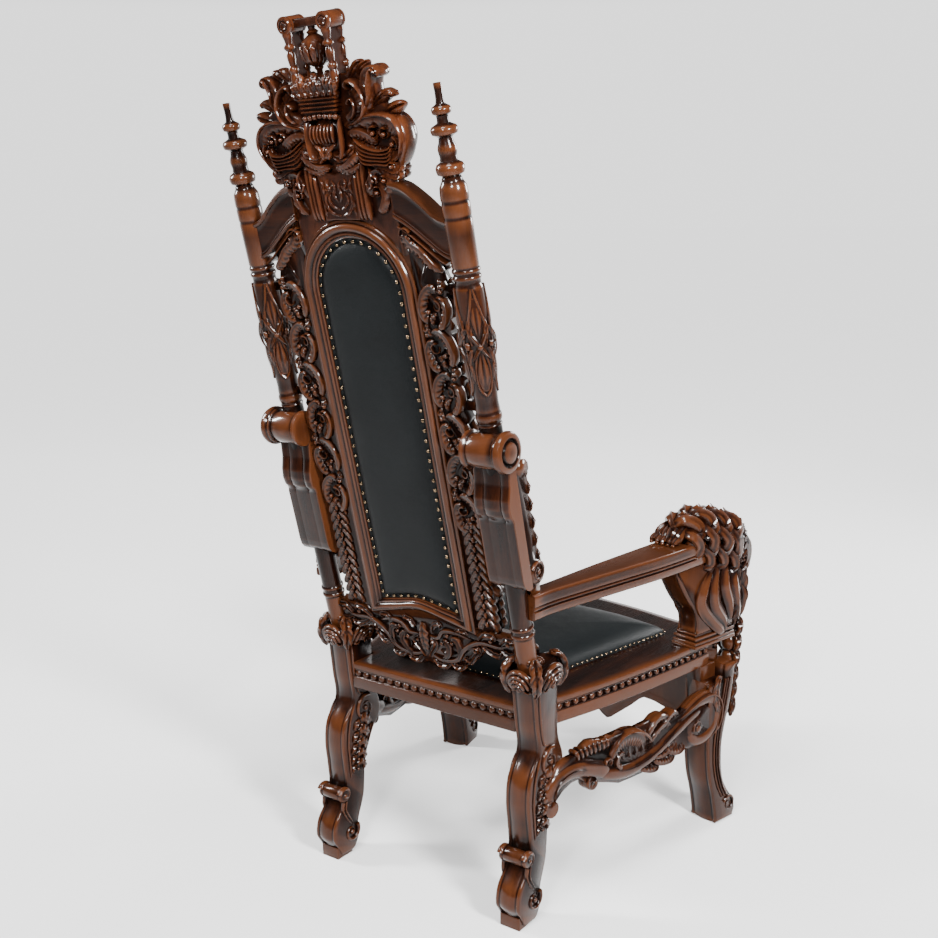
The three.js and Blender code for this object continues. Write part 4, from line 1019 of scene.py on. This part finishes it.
def rail(name, line, inward, room, finish, mirrored=False):
    """Bands and beads along a line; inward moves a point into the chair."""
    bm = bmesh.new()
    flat = [tuple(p) for p in line]
    for low, high, out, deep in ((415, 443, 0, 30), (441, 462, 7, 23), (441, 444.5, 1.5, 20), (457.5, 461.5, 2, 20)):
        loop = [inward(p, out) for p in flat] + [inward(p, out + deep) for p in flat[::-1]]
        slab(bm, loop, low, high, "xy", bevel=1.6 if high == 443 else 0.5)
    lengths = np.concatenate([[0], np.cumsum([math.dist(a, b) for a, b in zip(flat, flat[1:])])])
    count = max(2, round((lengths[-1] - 2 * room) / 23.6))
    for k in range(count + 1):
        at = room + (lengths[-1] - 2 * room) * k / count
        x, y = (float(np.interp(at, lengths, [p[j] for p in flat])) for j in (0, 1))
        ball(bm, (*inward((x, y), 6.0), BEAD_Z - 1.4), (8.6, 8.2, 8.6), 16)
    show(name, [into_mesh(bm, CHAIR)], finish, mirrored=mirrored)
    print(name, "beads", count + 1)


rail("rear_rail", [(LEG_IN - 0.6, REAR_EDGE), (-LEG_IN + 0.6, REAR_EDGE)], lambda p, d: (p[0], p[1] - d), 14, across)
rail("side_rail", [(x, y) for x, y in side_line if y > -690], lambda p, d: (p[0] - d, p[1]), 12, fore, True)
rail("front_rail", mirror(front_line[1:]), lambda p, d: (p[0] * (1 - d / 401), p[1] + d), 12, across)

# %% [markdown]
# ## Leather seat
# The seat is padded leather nailed to the board all round. It rises in a soft curve from the nails to
# a crown behind the middle. The outline is drawn smaller in steps, each higher than the last, and the
# leather is drawn in a little at each nail.
# %% Cushion and its nails
plan_half = [(0, -178), (110, -177), (168, -179), (186, -192), (212, -292), (236, -400), (262, -514), (286, -628),
             (284, -648), (262, -660), (140, -686), (0, -692)]
plan = np.array(mirror(spline(plan_half, 88)))
seat_nails = evenly(plan, 16.5)
middle = np.array([0, -430.0])
rings, steps = [], [1, 0.998, 0.994, 0.988, 0.98, 0.97, 0.955, 0.93, 0.9, 0.86, 0.8, 0.72, 0.62, 0.5, 0.36, 0.2, 0.06]
for k in steps[::-1]:
    rings.append([(*(middle + (p - middle) * k), 476.4) for p in plan])
for k in steps:
    rise = 30 * (1 - k ** 7) ** 0.85 * (0.9 + 0.1 * (1 - k))
    rings.append([(*(middle + (p - middle) * k), 478.4 + 4 * min(1, (1 - k) * 60) + rise) for p in plan])
seat = bmesh.new()
skin(seat, rings)
for v in seat.verts:
    if v.co.z > 477:
        away = np.hypot(seat_nails[:, 0] - v.co.x, seat_nails[:, 1] - v.co.y).min()
        v.co.z -= 3.4 * math.exp(-((away / 8.5) ** 2)) * min(1, (v.co.z - 477) / 4)
seat_leather = show("seat_cushion", [into_mesh(seat, CHAIR)], leather, crease=70)
stud = bmesh.new()
studs(stud, [(*(middle + (p - middle) * 0.994), 481) for p in seat_nails], 3.9, (0, 0, 1))
show("seat_nails", [into_mesh(stud, CHAIR)], nails, crease=80, extra=True)
print("seat nails", len(seat_nails))

# %% [markdown]
# ## Arms
# Each arm is a straight bar that widens to the front. Its top is flat and polished, and the outer side
# has a hollow with a bead under it. The arm's outline is drawn at each height, its outer line moved in
# or out by the moulding.
# %% Moulded arms
inner = spline([(254, -52), (268, -126), (284, -300), (300, -440), (318, -590)], 24)
outer = spline([(304, -44), (312, -120), (354, -304), (387, -451), (411, -606)], 24)
arm_steps = [(685, 5), (686.4, 2), (689, 0.4), (699, 0), (702, 0), (703, 3.4), (704.5, 3.8), (706.5, 1.6), (708.5, 0.8),
             (710.5, 1.4), (712.5, 3.8), (713.6, 3.4), (714.6, 0.4), (716, 0), (722, 0.2), (730, 0.2), (735.6, 0.4),
             (738, 2), (739, 5)]
levels = []
for z, into in arm_steps:
    edge = max(0, 5 - (z - 685)) + max(0, 5 - (739 - z)) if z < 690 or z > 734 else 0
    levels.append([(x + edge * 0.6, y, z) for x, y in inner] + [(x - into, y, z) for x, y in outer[::-1]])
arm = bmesh.new()
skin(arm, levels)
show("arm", [into_mesh(arm, CHAIR)], fore, mirrored=True, crease=50)

# %% [markdown]
# ## Cushioned boards
# The legs are thick boards cut to a curved profile, whose edges and faces are then rounded and
# reeded. One outline is drawn at many depths, each time a little smaller or larger, and skinned.
# %% A board with a moulded edge
def moulded(bm, outline, steps):
    """Skins an outline at (depth, inset) steps; the inset moves it along its own normal."""
    loop = np.array(outline, float)
    way = np.roll(loop, -1, 0) - np.roll(loop, 1, 0)
    way /= np.linalg.norm(way, axis=1)[:, None] + 1e-9
    inward = np.stack([-way[:, 1], way[:, 0]], 1)
    area = (loop[:, 0] * np.roll(loop[:, 1], -1) - np.roll(loop[:, 0], -1) * loop[:, 1]).sum()
    inward *= 1 if area > 0 else -1
    skin(bm, [[(depth, y, z) for y, z in loop + inward * inset] for depth, inset in steps])


def cushioned(low, high, edge=5.0, bead=8.0, belly=2.6):
    """Steps for a face with a bead at each edge, a groove and a swelling middle."""
    half = [(0, edge), (0.8, edge * 0.5), (2.4, edge * 0.12), (bead * 0.5, 0), (bead * 0.85, 0.8), (bead, 2.6),
            (bead * 1.15, 2.8), (bead * 1.5, 1.4)]
    wide = high - low
    middle = [(bead * 1.5 + (wide - bead * 3) * u, 1.4 - belly * math.sin(math.pi * u)) for u in (0.2, 0.4, 0.6, 0.8)]
    return [(low + d, i) for d, i in half] + [(low + d, i) for d, i in middle] + [(high - d, i) for d, i in half[::-1]]


print("cushioned board steps", len(cushioned(0, 60)))

# %% [markdown]
# ## Rear legs
# Each rear leg is a strong double curve: a scroll foot, a rolled collar, a long cushioned shin and a
# knee volute on its side. A carved capital receives the post.
# %% Shafts and volutes of the rear legs
rear_side = spline([(-2, 30), (12, 57), (5, 93), (-20, 126), (-38, 170), (-36, 220), (-31, 278), (-40, 330),
                    (-74, 380), (-68, 440), (-60, 519), (-59, 558)], 66)
fore_side = spline([(-144, 577), (-146, 496), (-148, 403), (-166, 350), (-161, 315), (-134, 280), (-108, 220),
                    (-102, 170), (-96, 130), (-78, 85), (-72, 60), (-74, 35), (-60, 10)], 60)
mid_leg = (LEG_IN + LEG_OUT) / 2
leg = bmesh.new()
moulded(leg, [*rear_side, *fore_side, (-50, 6), (-12, 10)], cushioned(LEG_IN, LEG_OUT, bead=9))
slab(leg, [(LEG_IN + 4, -52), (LEG_OUT - 7, -52), (LEG_OUT - 7, 0), (LEG_IN + 4, 0)], 0, 30, "xy", bevel=2)
roll = Matrix.Translation((mid_leg, -25, 158)) @ Matrix.Rotation(math.pi / 2, 4, "Y")
collar = [(16.8, 0), (16.4, 22), (15.2, 25), (17, 27), (17, 31), (15.5, 33.4), (13, 34)]
turned(leg, both_ends(collar), roll, 36)
leg_volutes = [
    ((-112, 350), 34, 1.5, 1.9, -1),
    ((-46, 56), 24, 1.4, 2.6, 1),
    ((-27, 156), 20, 1.3, 0.4, 1),
]
for face, x in ((1, LEG_OUT - 0.5), (-1, LEG_IN + 0.5)):
    cut = side_face(leg, x, face)
    for eye, r, turns, start, sign in leg_volutes:
        cut.coil(eye, r, turns, start, 5.6, 8, sign, 24, along=54, around=12)
        cut.berry(*eye, (8, 7, 7), n=14)
    cut.stem([(-72, 520), (-74, 470), (-80, 424), (-90, 396), (-110, 388)], 3.4, 5, along=30, around=8)
    cut.stem([(-76, 372), (-56, 334), (-47, 280), (-50, 230), (-52, 190)], 3.6, 5, along=34, around=8)
    for d in (0, 9):
        cut.stem([(-22 - d, 140), (-20 - d, 118), (-34 - d, 92), (-46 - d * 0.6, 76), (-44, 66)], 3.6, 5.5, fade,
                 along=20, around=8)
        cut.stem([(-128 - d, 304), (-112 - d, 270), (-92 - d, 226), (-88 - d, 180)], 3.4, 5, fade, along=24, around=8)
    for i, (y, z) in enumerate(((-92, 318), (-86, 290), (-80, 262), (-76, 236), (-74, 212))):
        size = 1 - 0.1 * i
        cut.comb([(y + 4, z + 8), (y - 12, z + 12), (y - 24, z + 2), (y - 22, z - 12)], 12 * size, 10, 5, -face)
        cut.leaf([(y, z + 6), (y + 12, z + 4), (y + 18, z - 8), (y + 12, z - 14)], 9 * size, 8, lobes=3)
        cut.berry(y, z - 4, (5, 4, 4), 4)
print("rear leg shaft vertices", len(leg.verts))

# %% [markdown]
# The capital sits at the foot of the post. Each of its four sides has bows that lie inside one another
# and roll outward, with a volute at either end and a berry between, and a drooping leaf covers each
# corner.
# %% Capital of the rear legs
for (dx, dy), wide in (((0, 1), 30), ((0, -1), 30), ((1, 0), 36), ((-1, 0), 34)):
    foot_x, foot_y = (mid_leg, -59 if dy > 0 else -145) if dx == 0 else (LEG_OUT if dx > 0 else LEG_IN, -102)
    cut = Face(leg, lambda a, z, lift: (foot_x + dx * lift + abs(dy) * a, foot_y + dy * lift + abs(dx) * a, z),
               (dx, dy, 0.35))
    for k, (less, out, thick) in enumerate(((0, 3, 6.5), (8.5, 9, 6.5), (16.5, 13, 6), (23.5, 15, 5))):
        r, bow = wide - less, []
        for a in np.linspace(-0.35, math.pi + 0.35, 12):
            push = out + 15 * math.sin(max(a, 0) if a < math.pi else 0) * (1 - 0.16 * k)
            bow.append(cut.put(r * math.cos(a), 533 + (r * 1.12) * math.sin(a), push))
        stem(leg, bow, thick, 10, up=cut.up, taper=blunt, along=36, around=12)
    for s in (-1, 1):
        cut.coil(((wide - 9) * s, 529), 11, 1.2, 1.5, 3.6, 9, s, 16, 10, along=28, around=10)
    cut.berry(0, 532, (8 if dx == 0 else 5, 8 if dy == 0 else 5, 10), 16, 14)
for dx, dy, y in ((1, 1, -62), (-1, 1, -62), (1, -1, -142), (-1, -1, -142)):
    x = mid_leg + dx * 27
    leaf(leg, [(x + dx * a, y + dy * b, z) for a, b, z in ((-8, -8, 588), (5, 5, 582), (13, 13, 560), (13, 12, 534),
                                                           (4, 4, 512))], 15, 10, up=(dx, dy, 0.5))
for k in range(12):
    a = 2 * math.pi * k / 12
    ball(leg, (POST_X + 25 * math.cos(a), -80 + 25 * math.sin(a), 582 + 5 * math.sin(a)), (8, 8, 9), 12)
show("rear_leg", [into_mesh(leg, CHAIR)], tall, mirrored=True)

# %% [markdown]
# ## Front legs
# The front legs are slimmer boards on scroll feet, with reeds that flow down the face to the foot.
# %% Front legs
front_rear = spline([(33, 2), (36, 30), (46, 80), (60, 130), (67, 190), (69, 260), (68, 340), (66, 376)], 34)
front_fore = spline([(-30, 414), (-24, 370), (-12, 310), (4, 260), (14, 216), (15, 165), (8, 118), (-8, 86), (-28, 58),
                     (-39, 40), (-41, 20), (-33, 2)], 46)
post_leg = bmesh.new()
moulded(post_leg, [*front_rear, (30, 376), (8, 377), (7, 390), (6, 402), (4, 413), *front_fore],
        cushioned(-39.5, 39.5, bead=10, belly=3.4))
slab(post_leg, [(-36, 8), (7, 8), (7, 66), (-36, 66)], 330, 414, "xy", bevel=2)
for face in (1, -1):
    cut = side_face(post_leg, 39.5 * face, face)
    cut.coil((-15, 42), 22, 1.5, 0.4, 4.6, 5, 1, 22, along=46, around=10)
    for d in (8, 17, 26):
        cut.stem([(y + d, z) for y, z in ((-16, 380), (0, 310), (20, 240), (22, 170), (8, 110), (-12, 70))], 3, 4.6,
                 steady, along=40, around=8)
    cut.leaf([(30, 392), (44, 360), (40, 320), (28, 292)], 15, 6)
reed = [(-32, 400), (-25, 366), (-13, 310), (3, 258), (13, 210), (14, 160), (6, 112), (-10, 82), (-29, 56), (-40, 38)]
for x in (-22, -8, 8, 22):
    stem(post_leg, [(x, y, z) for y, z in reed], 5, 4, up=(0, -1, 0), taper=steady, along=60, around=8)
show("front_leg", [into_mesh(post_leg, FOOT)], tall, mirrored=True)

# %% [markdown]
# ## Side stretchers
# A stretcher ties each pair of legs. It is two long scrolls that meet under a ribbed shell, with a
# gadrooned lobe behind, leaves in front and a broad plain scroll against the front leg.
# %% Stretchers
tie = bmesh.new()
node_copy(tie, "side_stretcher_left", STRETCHER)
scrolls = [
    (21, 12, 60, 20, (-24, 246), (-32, 268), (-18, 294), (14, 307), (52, 308), (100, 293), (138, 276), (154, 264)),
    (3, 15, 50, 8, (-18, 250), (-24, 272), (-12, 296), (16, 309), (52, 309), (100, 292)),
    (19, 13, 60, 20, (108, 282), (160, 263), (210, 253), (262, 255), (318, 270), (372, 293), (430, 313), (490, 326)),
    (3, 16, 60, 8, (150, 270), (210, 258), (262, 260), (318, 275), (372, 299), (430, 322), (500, 340)),
    (6.5, 16, 40, 12, (152, 286), (170, 326), (204, 345), (246, 340), (278, 318), (300, 292)),
    (18, 12, 90, 18, (376, 300), (416, 322), (462, 342), (504, 346), (532, 328), (538, 298), (526, 268),
     (496, 250), (462, 250), (440, 266), (442, 288)),
    (4, 17, 70, 10, (390, 320), (430, 338), (474, 353), (514, 352), (542, 332), (549, 298), (536, 262), (500, 238)),
]
volutes = [
    ((-30, 246), 19, 1.4, 1.7, 5.5, 12, 1),
    ((150, 290), 15, 1.2, 2.9, 4.5, 14, -1),
    ((462, 282), 20, 1.1, 3.3, 4.5, 15, -1),
]
rolled_leaves = [
    (11, 8, 1, (276, 306), (296, 332), (320, 346), (342, 342), (344, 330)),
    (10, 7, 1, (286, 296), (312, 316), (342, 326), (356, 314)),
    (10, 7, 1, (328, 318), (350, 336), (372, 344), (384, 334)),
    (10, 7, -1, (296, 262), (328, 256), (360, 262), (386, 270)),
    (11, 8, -1, (300, 252), (328, 238), (356, 234), (376, 242)),
    (11, 7, -1, (340, 268), (368, 252), (394, 246), (412, 256)),
    (9, 6, -1, (254, 246), (280, 234), (304, 228), (320, 234)),
    (9, 5, 1, (112, 266), (96, 256), (86, 262), (88, 278)),
    (9, 5, 1, (196, 262), (178, 282), (186, 300), (204, 296)),
]
for face in (1, -1):
    cut = Face(tie, lambda s, z, lift: ((4 + lift) * face, -s, z), (face, 0, 0))
    for wide, deep, along, around, *points in scrolls:
        cut.stem(points, wide, deep, along=along, around=around)
    for eye, r, turns, start, wide, deep, sign in volutes:
        cut.coil(eye, r, turns, start, wide, deep, sign, along=40, around=10)
    cut.comb([(160, 296), (180, 322), (212, 330), (246, 320), (270, 300)], 20, 14, 14, face, lines=0, along=80)
    for i in range(8):
        at = 46 + i * 13.5
        cut.stem([(at, 356 - abs(i - 4) * 0.8), (at + 4, 342), (at + 9, 324)], 7, 12, swell, along=12, around=10)
    for wide, ribs, rim, *points in rolled_leaves:
        cut.comb(points, wide, 14, ribs, rim * face, along=40)
    cut.berry(462, 280, (6, 10, 10), 8, 16)
    cut.berry(398, 302, (5, 7, 7), 8, 14)
    for k in range(6):
        a = 2 * math.pi * k / 6
        cut.berry(398 + 9 * math.cos(a), 302 + 9 * math.sin(a), (4, 5, 5), 6.4)
show("side_stretcher", [into_mesh(tie, STRETCHER)], carved, mirrored=True)

# %% [markdown]
# ## Front apron
# Under the front rail hangs an apron of two scrolls that meet in a shell.
# %% Front apron
low_front = bmesh.new()
node_copy(low_front, "front_apron", CHAIR)
hanging_scrolls = [
    ([(20, 392), (90, 396), (170, 372), (230, 330), (250, 300), (232, 286), (214, 300)], 12),
    ([(40, 300), (86, 268), (124, 236), (112, 216), (96, 228)], 12),
    ([(150, 380), (220, 392), (286, 372), (322, 330), (330, 296)], 12),
]
hanging_leaves = [
    [(60, 390), (84, 362), (120, 350), (140, 362)],
    [(100, 300), (136, 300), (164, 282), (170, 262)],
    [(180, 360), (206, 330), (200, 300), (186, 290)],
    [(250, 372), (276, 344), (290, 310), (282, 292)],
    [(70, 330), (104, 330), (128, 310), (130, 290)],
    [(40, 360), (58, 330), (50, 300), (36, 290)],
]
for s in (-1, 1):
    cut = upright(low_front, -719, -1, s)
    for points, wide in hanging_scrolls:
        cut.stem(points, wide, 12, swell, ridges=3, along=40, around=16)
    for points in hanging_leaves:
        cut.leaf(points, 13, 10, 3)
for k in range(-4, 5):
    stem(low_front, [(k * 5, -718, 246), (k * 10, -726, 290), (k * 12, -720, 332 - abs(k) * 3)], 5.5, 10, up=(0, -1, 0),
         along=14, around=10)
ball(low_front, (0, -722, 242), (12, 9, 12), 16)
show("front_apron", [into_mesh(low_front, CHAIR)], carved)

# %% [markdown]
# ## Lion arm posts
# A shaped pillar stands on a moulded plinth at each front corner of the seat and carries the arm. A
# lion's head looks forward over it. Its mane falls back over the arm in heavy curls, and its chest
# locks taper down into a garland that hangs in front of the seat.
# %% Pillar, plinth and head
lion = bmesh.new()
pillar_rear = spline([(104, 508), (102, 540), (112, 570), (140, 605), (168, 650), (182, 684.5)], 26)
moulded(lion, [*pillar_rear, (90, 684.6), (-30, 690), (-36, 560), (-30, 508)], cushioned(-36, 26, bead=7))
for low, high, out in ((476.3, 484, 0), (484, 492, 2), (492, 497, 6), (497, 503, 3), (503, 511, 8)):
    slab(lion, [(-42 + out, -34), (32 - out, -34), (32 - out, 116 - out), (-42 + out, 116 - out)], low, high, "xy",
         bevel=1.5)
CX = -8  # the middle of the lion
for y, z, size, n in ((30, 736, (38, 82, 42), 28), (-44, 716, (37, 48, 42), 26), (108, 762, (37, 38, 28), 22),
                      (-42, 600, (33, 50, 84), 24), (-78, 700, (23, 24, 19), 24), (-102.5, 706, (8.5, 5, 5.5), 16),
                      (-88, 680, (13, 13, 8.5), 18)):
    ball(lion, (CX, y, z), size, n)
for s in (-1, 1):
    def on_head(*points):
        return [(CX + x * s, y, z) for x, y, z in points]
    for at, size in (((9, -93, 695), (11.5, 12, 10.5)), ((24, -68, 706), (15, 19, 18))):
        ball(lion, *on_head(at), size, 18)
    ball(lion, *on_head((16.5, -84, 722)), (6.2, 4.5, 5.2), 16)
    stem(lion, on_head((5, -88, 722), (13, -88, 731), (25, -80, 731), (34, -66, 720)), 5, 5, up=(0, -1, 0.3), along=16)
    stem(lion, on_head((3, -94, 726), (5, -97, 712), (8, -101, 703)), 4, 5, up=(0, -1, 0), along=10)
    for k in range(3):
        ball(lion, *on_head((7 + 5 * k, -104 + k * 1.6, 697 - 3 * (k % 2))), (1.6, 1.2, 1.6), 8)
    leaf(lion, on_head((22, -50, 742), (34, -46, 762), (38, -38, 772)), 11, 8, up=(0.3 * s, -1, 0.2), ridges=1)
stem(lion, [(CX - 16, -92, 687), (CX, -102, 689), (CX + 16, -92, 687)], 2.2, 2, up=(0, 0, 1), along=12, around=8)
print("lion so far", len(lion.verts))

# %% [markdown]
# The mane is drawn lock by lock. Every lock is a ridged stem that springs from the skull, swells, and
# hooks at its tip. A seeded generator varies them a little, so that no two are the same.
# %% Mane, chest and garland
luck = random.Random(11)


def lock(origin, s, points, wide, deep, up, ridges=3):
    """A lock of hair drawn from an origin, mirrored by s, with every point moved a little by luck."""
    x0, y0, z0 = origin
    placed = [(x0 + x * s, y0 + y, z0 + z) for x, y, z in points]
    jog = [tuple(c + luck.uniform(-1.8, 1.8) for c in p) for p in placed]
    stem(lion, jog, wide, deep, up=up, ridges=ridges, along=20, around=16)


for b, top, reach in ((126, 782, 41), (80, 790, 47), (32, 782, 49), (-14, 766, 48)):
    skull = (CX, b, top)
    for s in (-1, 1):
        lock(skull, s, [(-4, 26, -6), (14, 12, 11), (31, -6, 4), (reach * 0.9, -14, -20), (reach * 0.84, 6, -38),
                        (reach * 0.66, 12, -26)], 20, 15, (0.5 * s, 0, 1), 2)
        lock(skull, s, [(20, 24, -14), (40, 8, -20), (reach + 1, -14, -48), (reach - 2, -8, -78),
                        (reach - 12, 12, -84)], 18, 12, (s, 0, 0.4), 2)
        if b < 100:
            lock(skull, s, [(36, 18, -60), (45, -2, -84), (42, -10, -108), (32, 6, -122)], 16, 11, (s, 0, 0.1), 2)
    lock(skull, 1, [(2, 30, -6), (8, 6, 15), (-4, -20, 9), (-16, -30, -4)], 19, 14, (0, 0, 1), 2)
for x in (-34, -20, -6, 8, 20):
    lock((CX, 0, 0), x, [(0.8, 118, 776), (1, 140, 774), (1.1, 160, 762), (1, 168, 750), (0.9, 160, 744)], 11, 10,
         (0, 0.6, 1))
    lock((CX, 0, 0), x, [(1, 144, 756), (1.15, 166, 755), (1.2, 180, 747), (1.1, 178, 742)], 9, 7, (0, 0.4, 1))
    ball(lion, (CX + x * 1.2, 186, 743), (5, 5, 4.5), 10)
for k in range(18):
    a = 2 * math.pi * (k + 0.5) / 18
    c, d = math.cos(a), math.sin(a)
    if d > -0.86:
        lock((CX, -64, 712), 1, [(27 * c, 0, 28 * d), (38 * c, -4, 38 * d), (46 * c, 8, 50 * d - 2),
                                 (45 * c, 24, 58 * d - 8)], 9, 8, (c, -0.7, d))
flank_locks = [
    (21, (0, 60, 655), (3, 86, 620), (3, 92, 584), (2, 62, 544), (2, 22, 506), (0, 2, 494)),
    (21, (0, 34, 660), (5, 50, 616), (6, 44, 572), (4, 12, 530), (2, -2, 500)),
    (21, (0, 4, 662), (5, 8, 612), (5, -8, 566), (3, -20, 522)),
    (20, (0, -28, 655), (3, -28, 604), (2, -42, 560), (0, -50, 520)),
]
for a, face in ((25, 1), (-35, -1)):
    flank = (a, 0, 0)
    for wide, *points in flank_locks:
        lock(flank, face, points, wide, 11, (face, 0, 0), 4)
    lock(flank, face, [(0, 24, 726), (4, -6, 722), (6, -26, 690), (4, -18, 650), (0, 6, 640)], 17, 12, (face, 0, 0))
    lock(flank, face, [(0, -22, 724), (5, -52, 724), (5, -78, 690), (4, -74, 650), (2, -50, 630)], 15, 12, (face, 0, 0))
    for k in range(6):
        turn = 2 * math.pi * k / 6
        ball(lion, (a + 8 * face, -52 + 10 * math.cos(turn), 676 + 12 * math.sin(turn)), (5, 5, 5.5), 10)
    ball(lion, (a + 9 * face, -52, 676), (6, 6, 6), 12)
for row, (z, count) in enumerate(((668, 6), (640, 6), (612, 5), (584, 5), (558, 4), (534, 3))):
    round_chest = math.sqrt(max(0.08, 1 - ((z - 600) / 96) ** 2))
    for i in range(count):
        a = math.radians(-100 + 200 * (i + 0.5 * (row % 2)) / max(1, count - 1 + 0.5 * (row % 2)))
        x, b = 34 * round_chest * math.sin(a), -40 - 52 * round_chest * math.cos(a)
        lock((CX, b, z), 1, [(x * 0.9, 6, 20), (x * 1.08, -6, 2), (x * 1.04, -7, -18), (x * 0.86, 1, -40),
                             (x * 0.8 + 5, 4, -46)], 12.5, 10, (math.sin(a), -math.cos(a), 0.1))
for i in range(6):
    z, big = 492 - 42 * i, 1 - 0.08 * i
    y = -62 + (496 - z) * 0.05
    ball(lion, (CX, y, z - 6), (22 * big, 17 * big, 24), 18)
    for s in (-1, 1):
        for t, out in ((0, 1.0), (1, 0.62)):
            leaf(lion, [(CX + 6 * s, y - 14 * t, z + 18), (CX + 24 * big * s * out, y - 16 * t - 6, z + 6),
                        (CX + 29 * big * s * out, y - 17 * t - 2, z - 14), (CX + 17 * s * out, y - 14 * t, z - 28)],
                 11 * big, 9, up=(s * (1 - t * 0.7), -t, 0), lobes=3, around=16, along=18)
        ball(lion, (CX + 12 * s * big, y - 15, z + 14), (6, 6, 6), 12)
    ball(lion, (CX, y - 18 * big, z + 17), (6.5, 6.5, 6.5), 12)
SEAT_UNDER, HANG_Y = 476.3, -33.5  # below the seat board the garland stays in front of this plane
for v in lion.verts:
    if v.co.y > HANG_Y and v.co.z < SEAT_UNDER:
        v.co.y = HANG_Y
show("lion_post", [into_mesh(lion, FOOT)], carved, mirrored=True)

# %% [markdown]
# A pale floor whose painted glow brightens away from the camera until it meets a bright wall, and five soft
# lamps, as in a studio. The camera stands behind the chair's right side, a little above its arms.
# %% Studio
AHEAD = (0.59, -0.807, 0.0)  # the way the camera looks, over the floor
PICTURE = 938  # points across the picture


def ahead_of(nodes):
    return nodes.add("ShaderNodeVectorMath", {"operation": "DOT_PRODUCT"}, {0: nodes.place, 1: AHEAD}, 1)


drawn = bmesh.new()
bmesh.ops.create_grid(drawn, x_segments=1, y_segments=1, size=90)
floor = add_object("floor", bpy.data.meshes.new("floor"))
drawn.to_mesh(floor.data)
drawn.free()
glowing_floor_look = Nodes("pale_glowing_floor")
# Painted light: the floor glows, more strongly the further it lies ahead of the camera
lit = glowing_floor_look.rise(ahead_of(glowing_floor_look), -1.0, 5.0, 0.12, 1.7)
floor.data.materials.append(glowing_floor_look.finish(Base_Color=(0.52, 0.52, 0.52, 1), Roughness=0.9, Specular_IOR_Level=0.1,
                                        Emission_Color=lit, Emission_Strength=1.0))

world = bpy.data.worlds.new("studio")
bpy.context.scene.world = world
sky = Nodes("studio", world)
height = sky.add("ShaderNodeSeparateXYZ", {}, {"Vector": sky.place}, 2)
wall = sky.rise(ahead_of(sky), 0.35, 0.75) * sky.rise(height, 0.15, 0.22, 1.0, 0.0)
sky.finish(Color=(1, 1, 1, 1), Strength=wall * 1.7 + 0.1)


def lamp(name, place, aim, size, power):
    light = bpy.data.lights.new(name, "AREA")
    light.shape, light.size, light.size_y, light.energy = "RECTANGLE", size[0], size[1], power
    holder = add_object(name, light)
    holder.location = place
    holder.rotation_euler = (Vector(aim) - Vector(place)).to_track_quat("-Z", "Y").to_euler()


lamp("key", (-3.2, 1.2, 2.7), (0, 0, 0.9), (0.6, 1.0), 600)
lamp("side", (3.1, 1.4, 2.9), (0, 0, 1.0), (0.4, 1.25), 320)
lamp("front", (-1.2, -3.2, 2.4), (0, 0, 0.8), (1.2, 1.2), 220)
lamp("above", (-0.4, 1.6, 4.2), (0, 0, 0.5), (1.0, 1.0), 150)
lamp("rear", (-1.3, 2.9, 2.7), (0, 0.35, 1.65), (0.5, 0.5), 190)

camera = add_object("camera", bpy.data.cameras.new("camera"))
camera.location = (-1.602, 2.1922, 1.499)
looking = (Vector((-0.0538, 0.0886, 0.9369)) - camera.location).to_track_quat("-Z", "Y").to_matrix().to_4x4()
camera.matrix_world = Matrix.Translation(camera.location) @ looking @ Matrix.Rotation(math.radians(-1.09), 4, "Z")
camera.data.sensor_width, camera.data.lens = 36, 46.51
camera.data.shift_x, camera.data.shift_y = -8 / PICTURE, 5 / PICTURE
bpy.context.scene.camera = camera
print("camera at", tuple(camera.location))
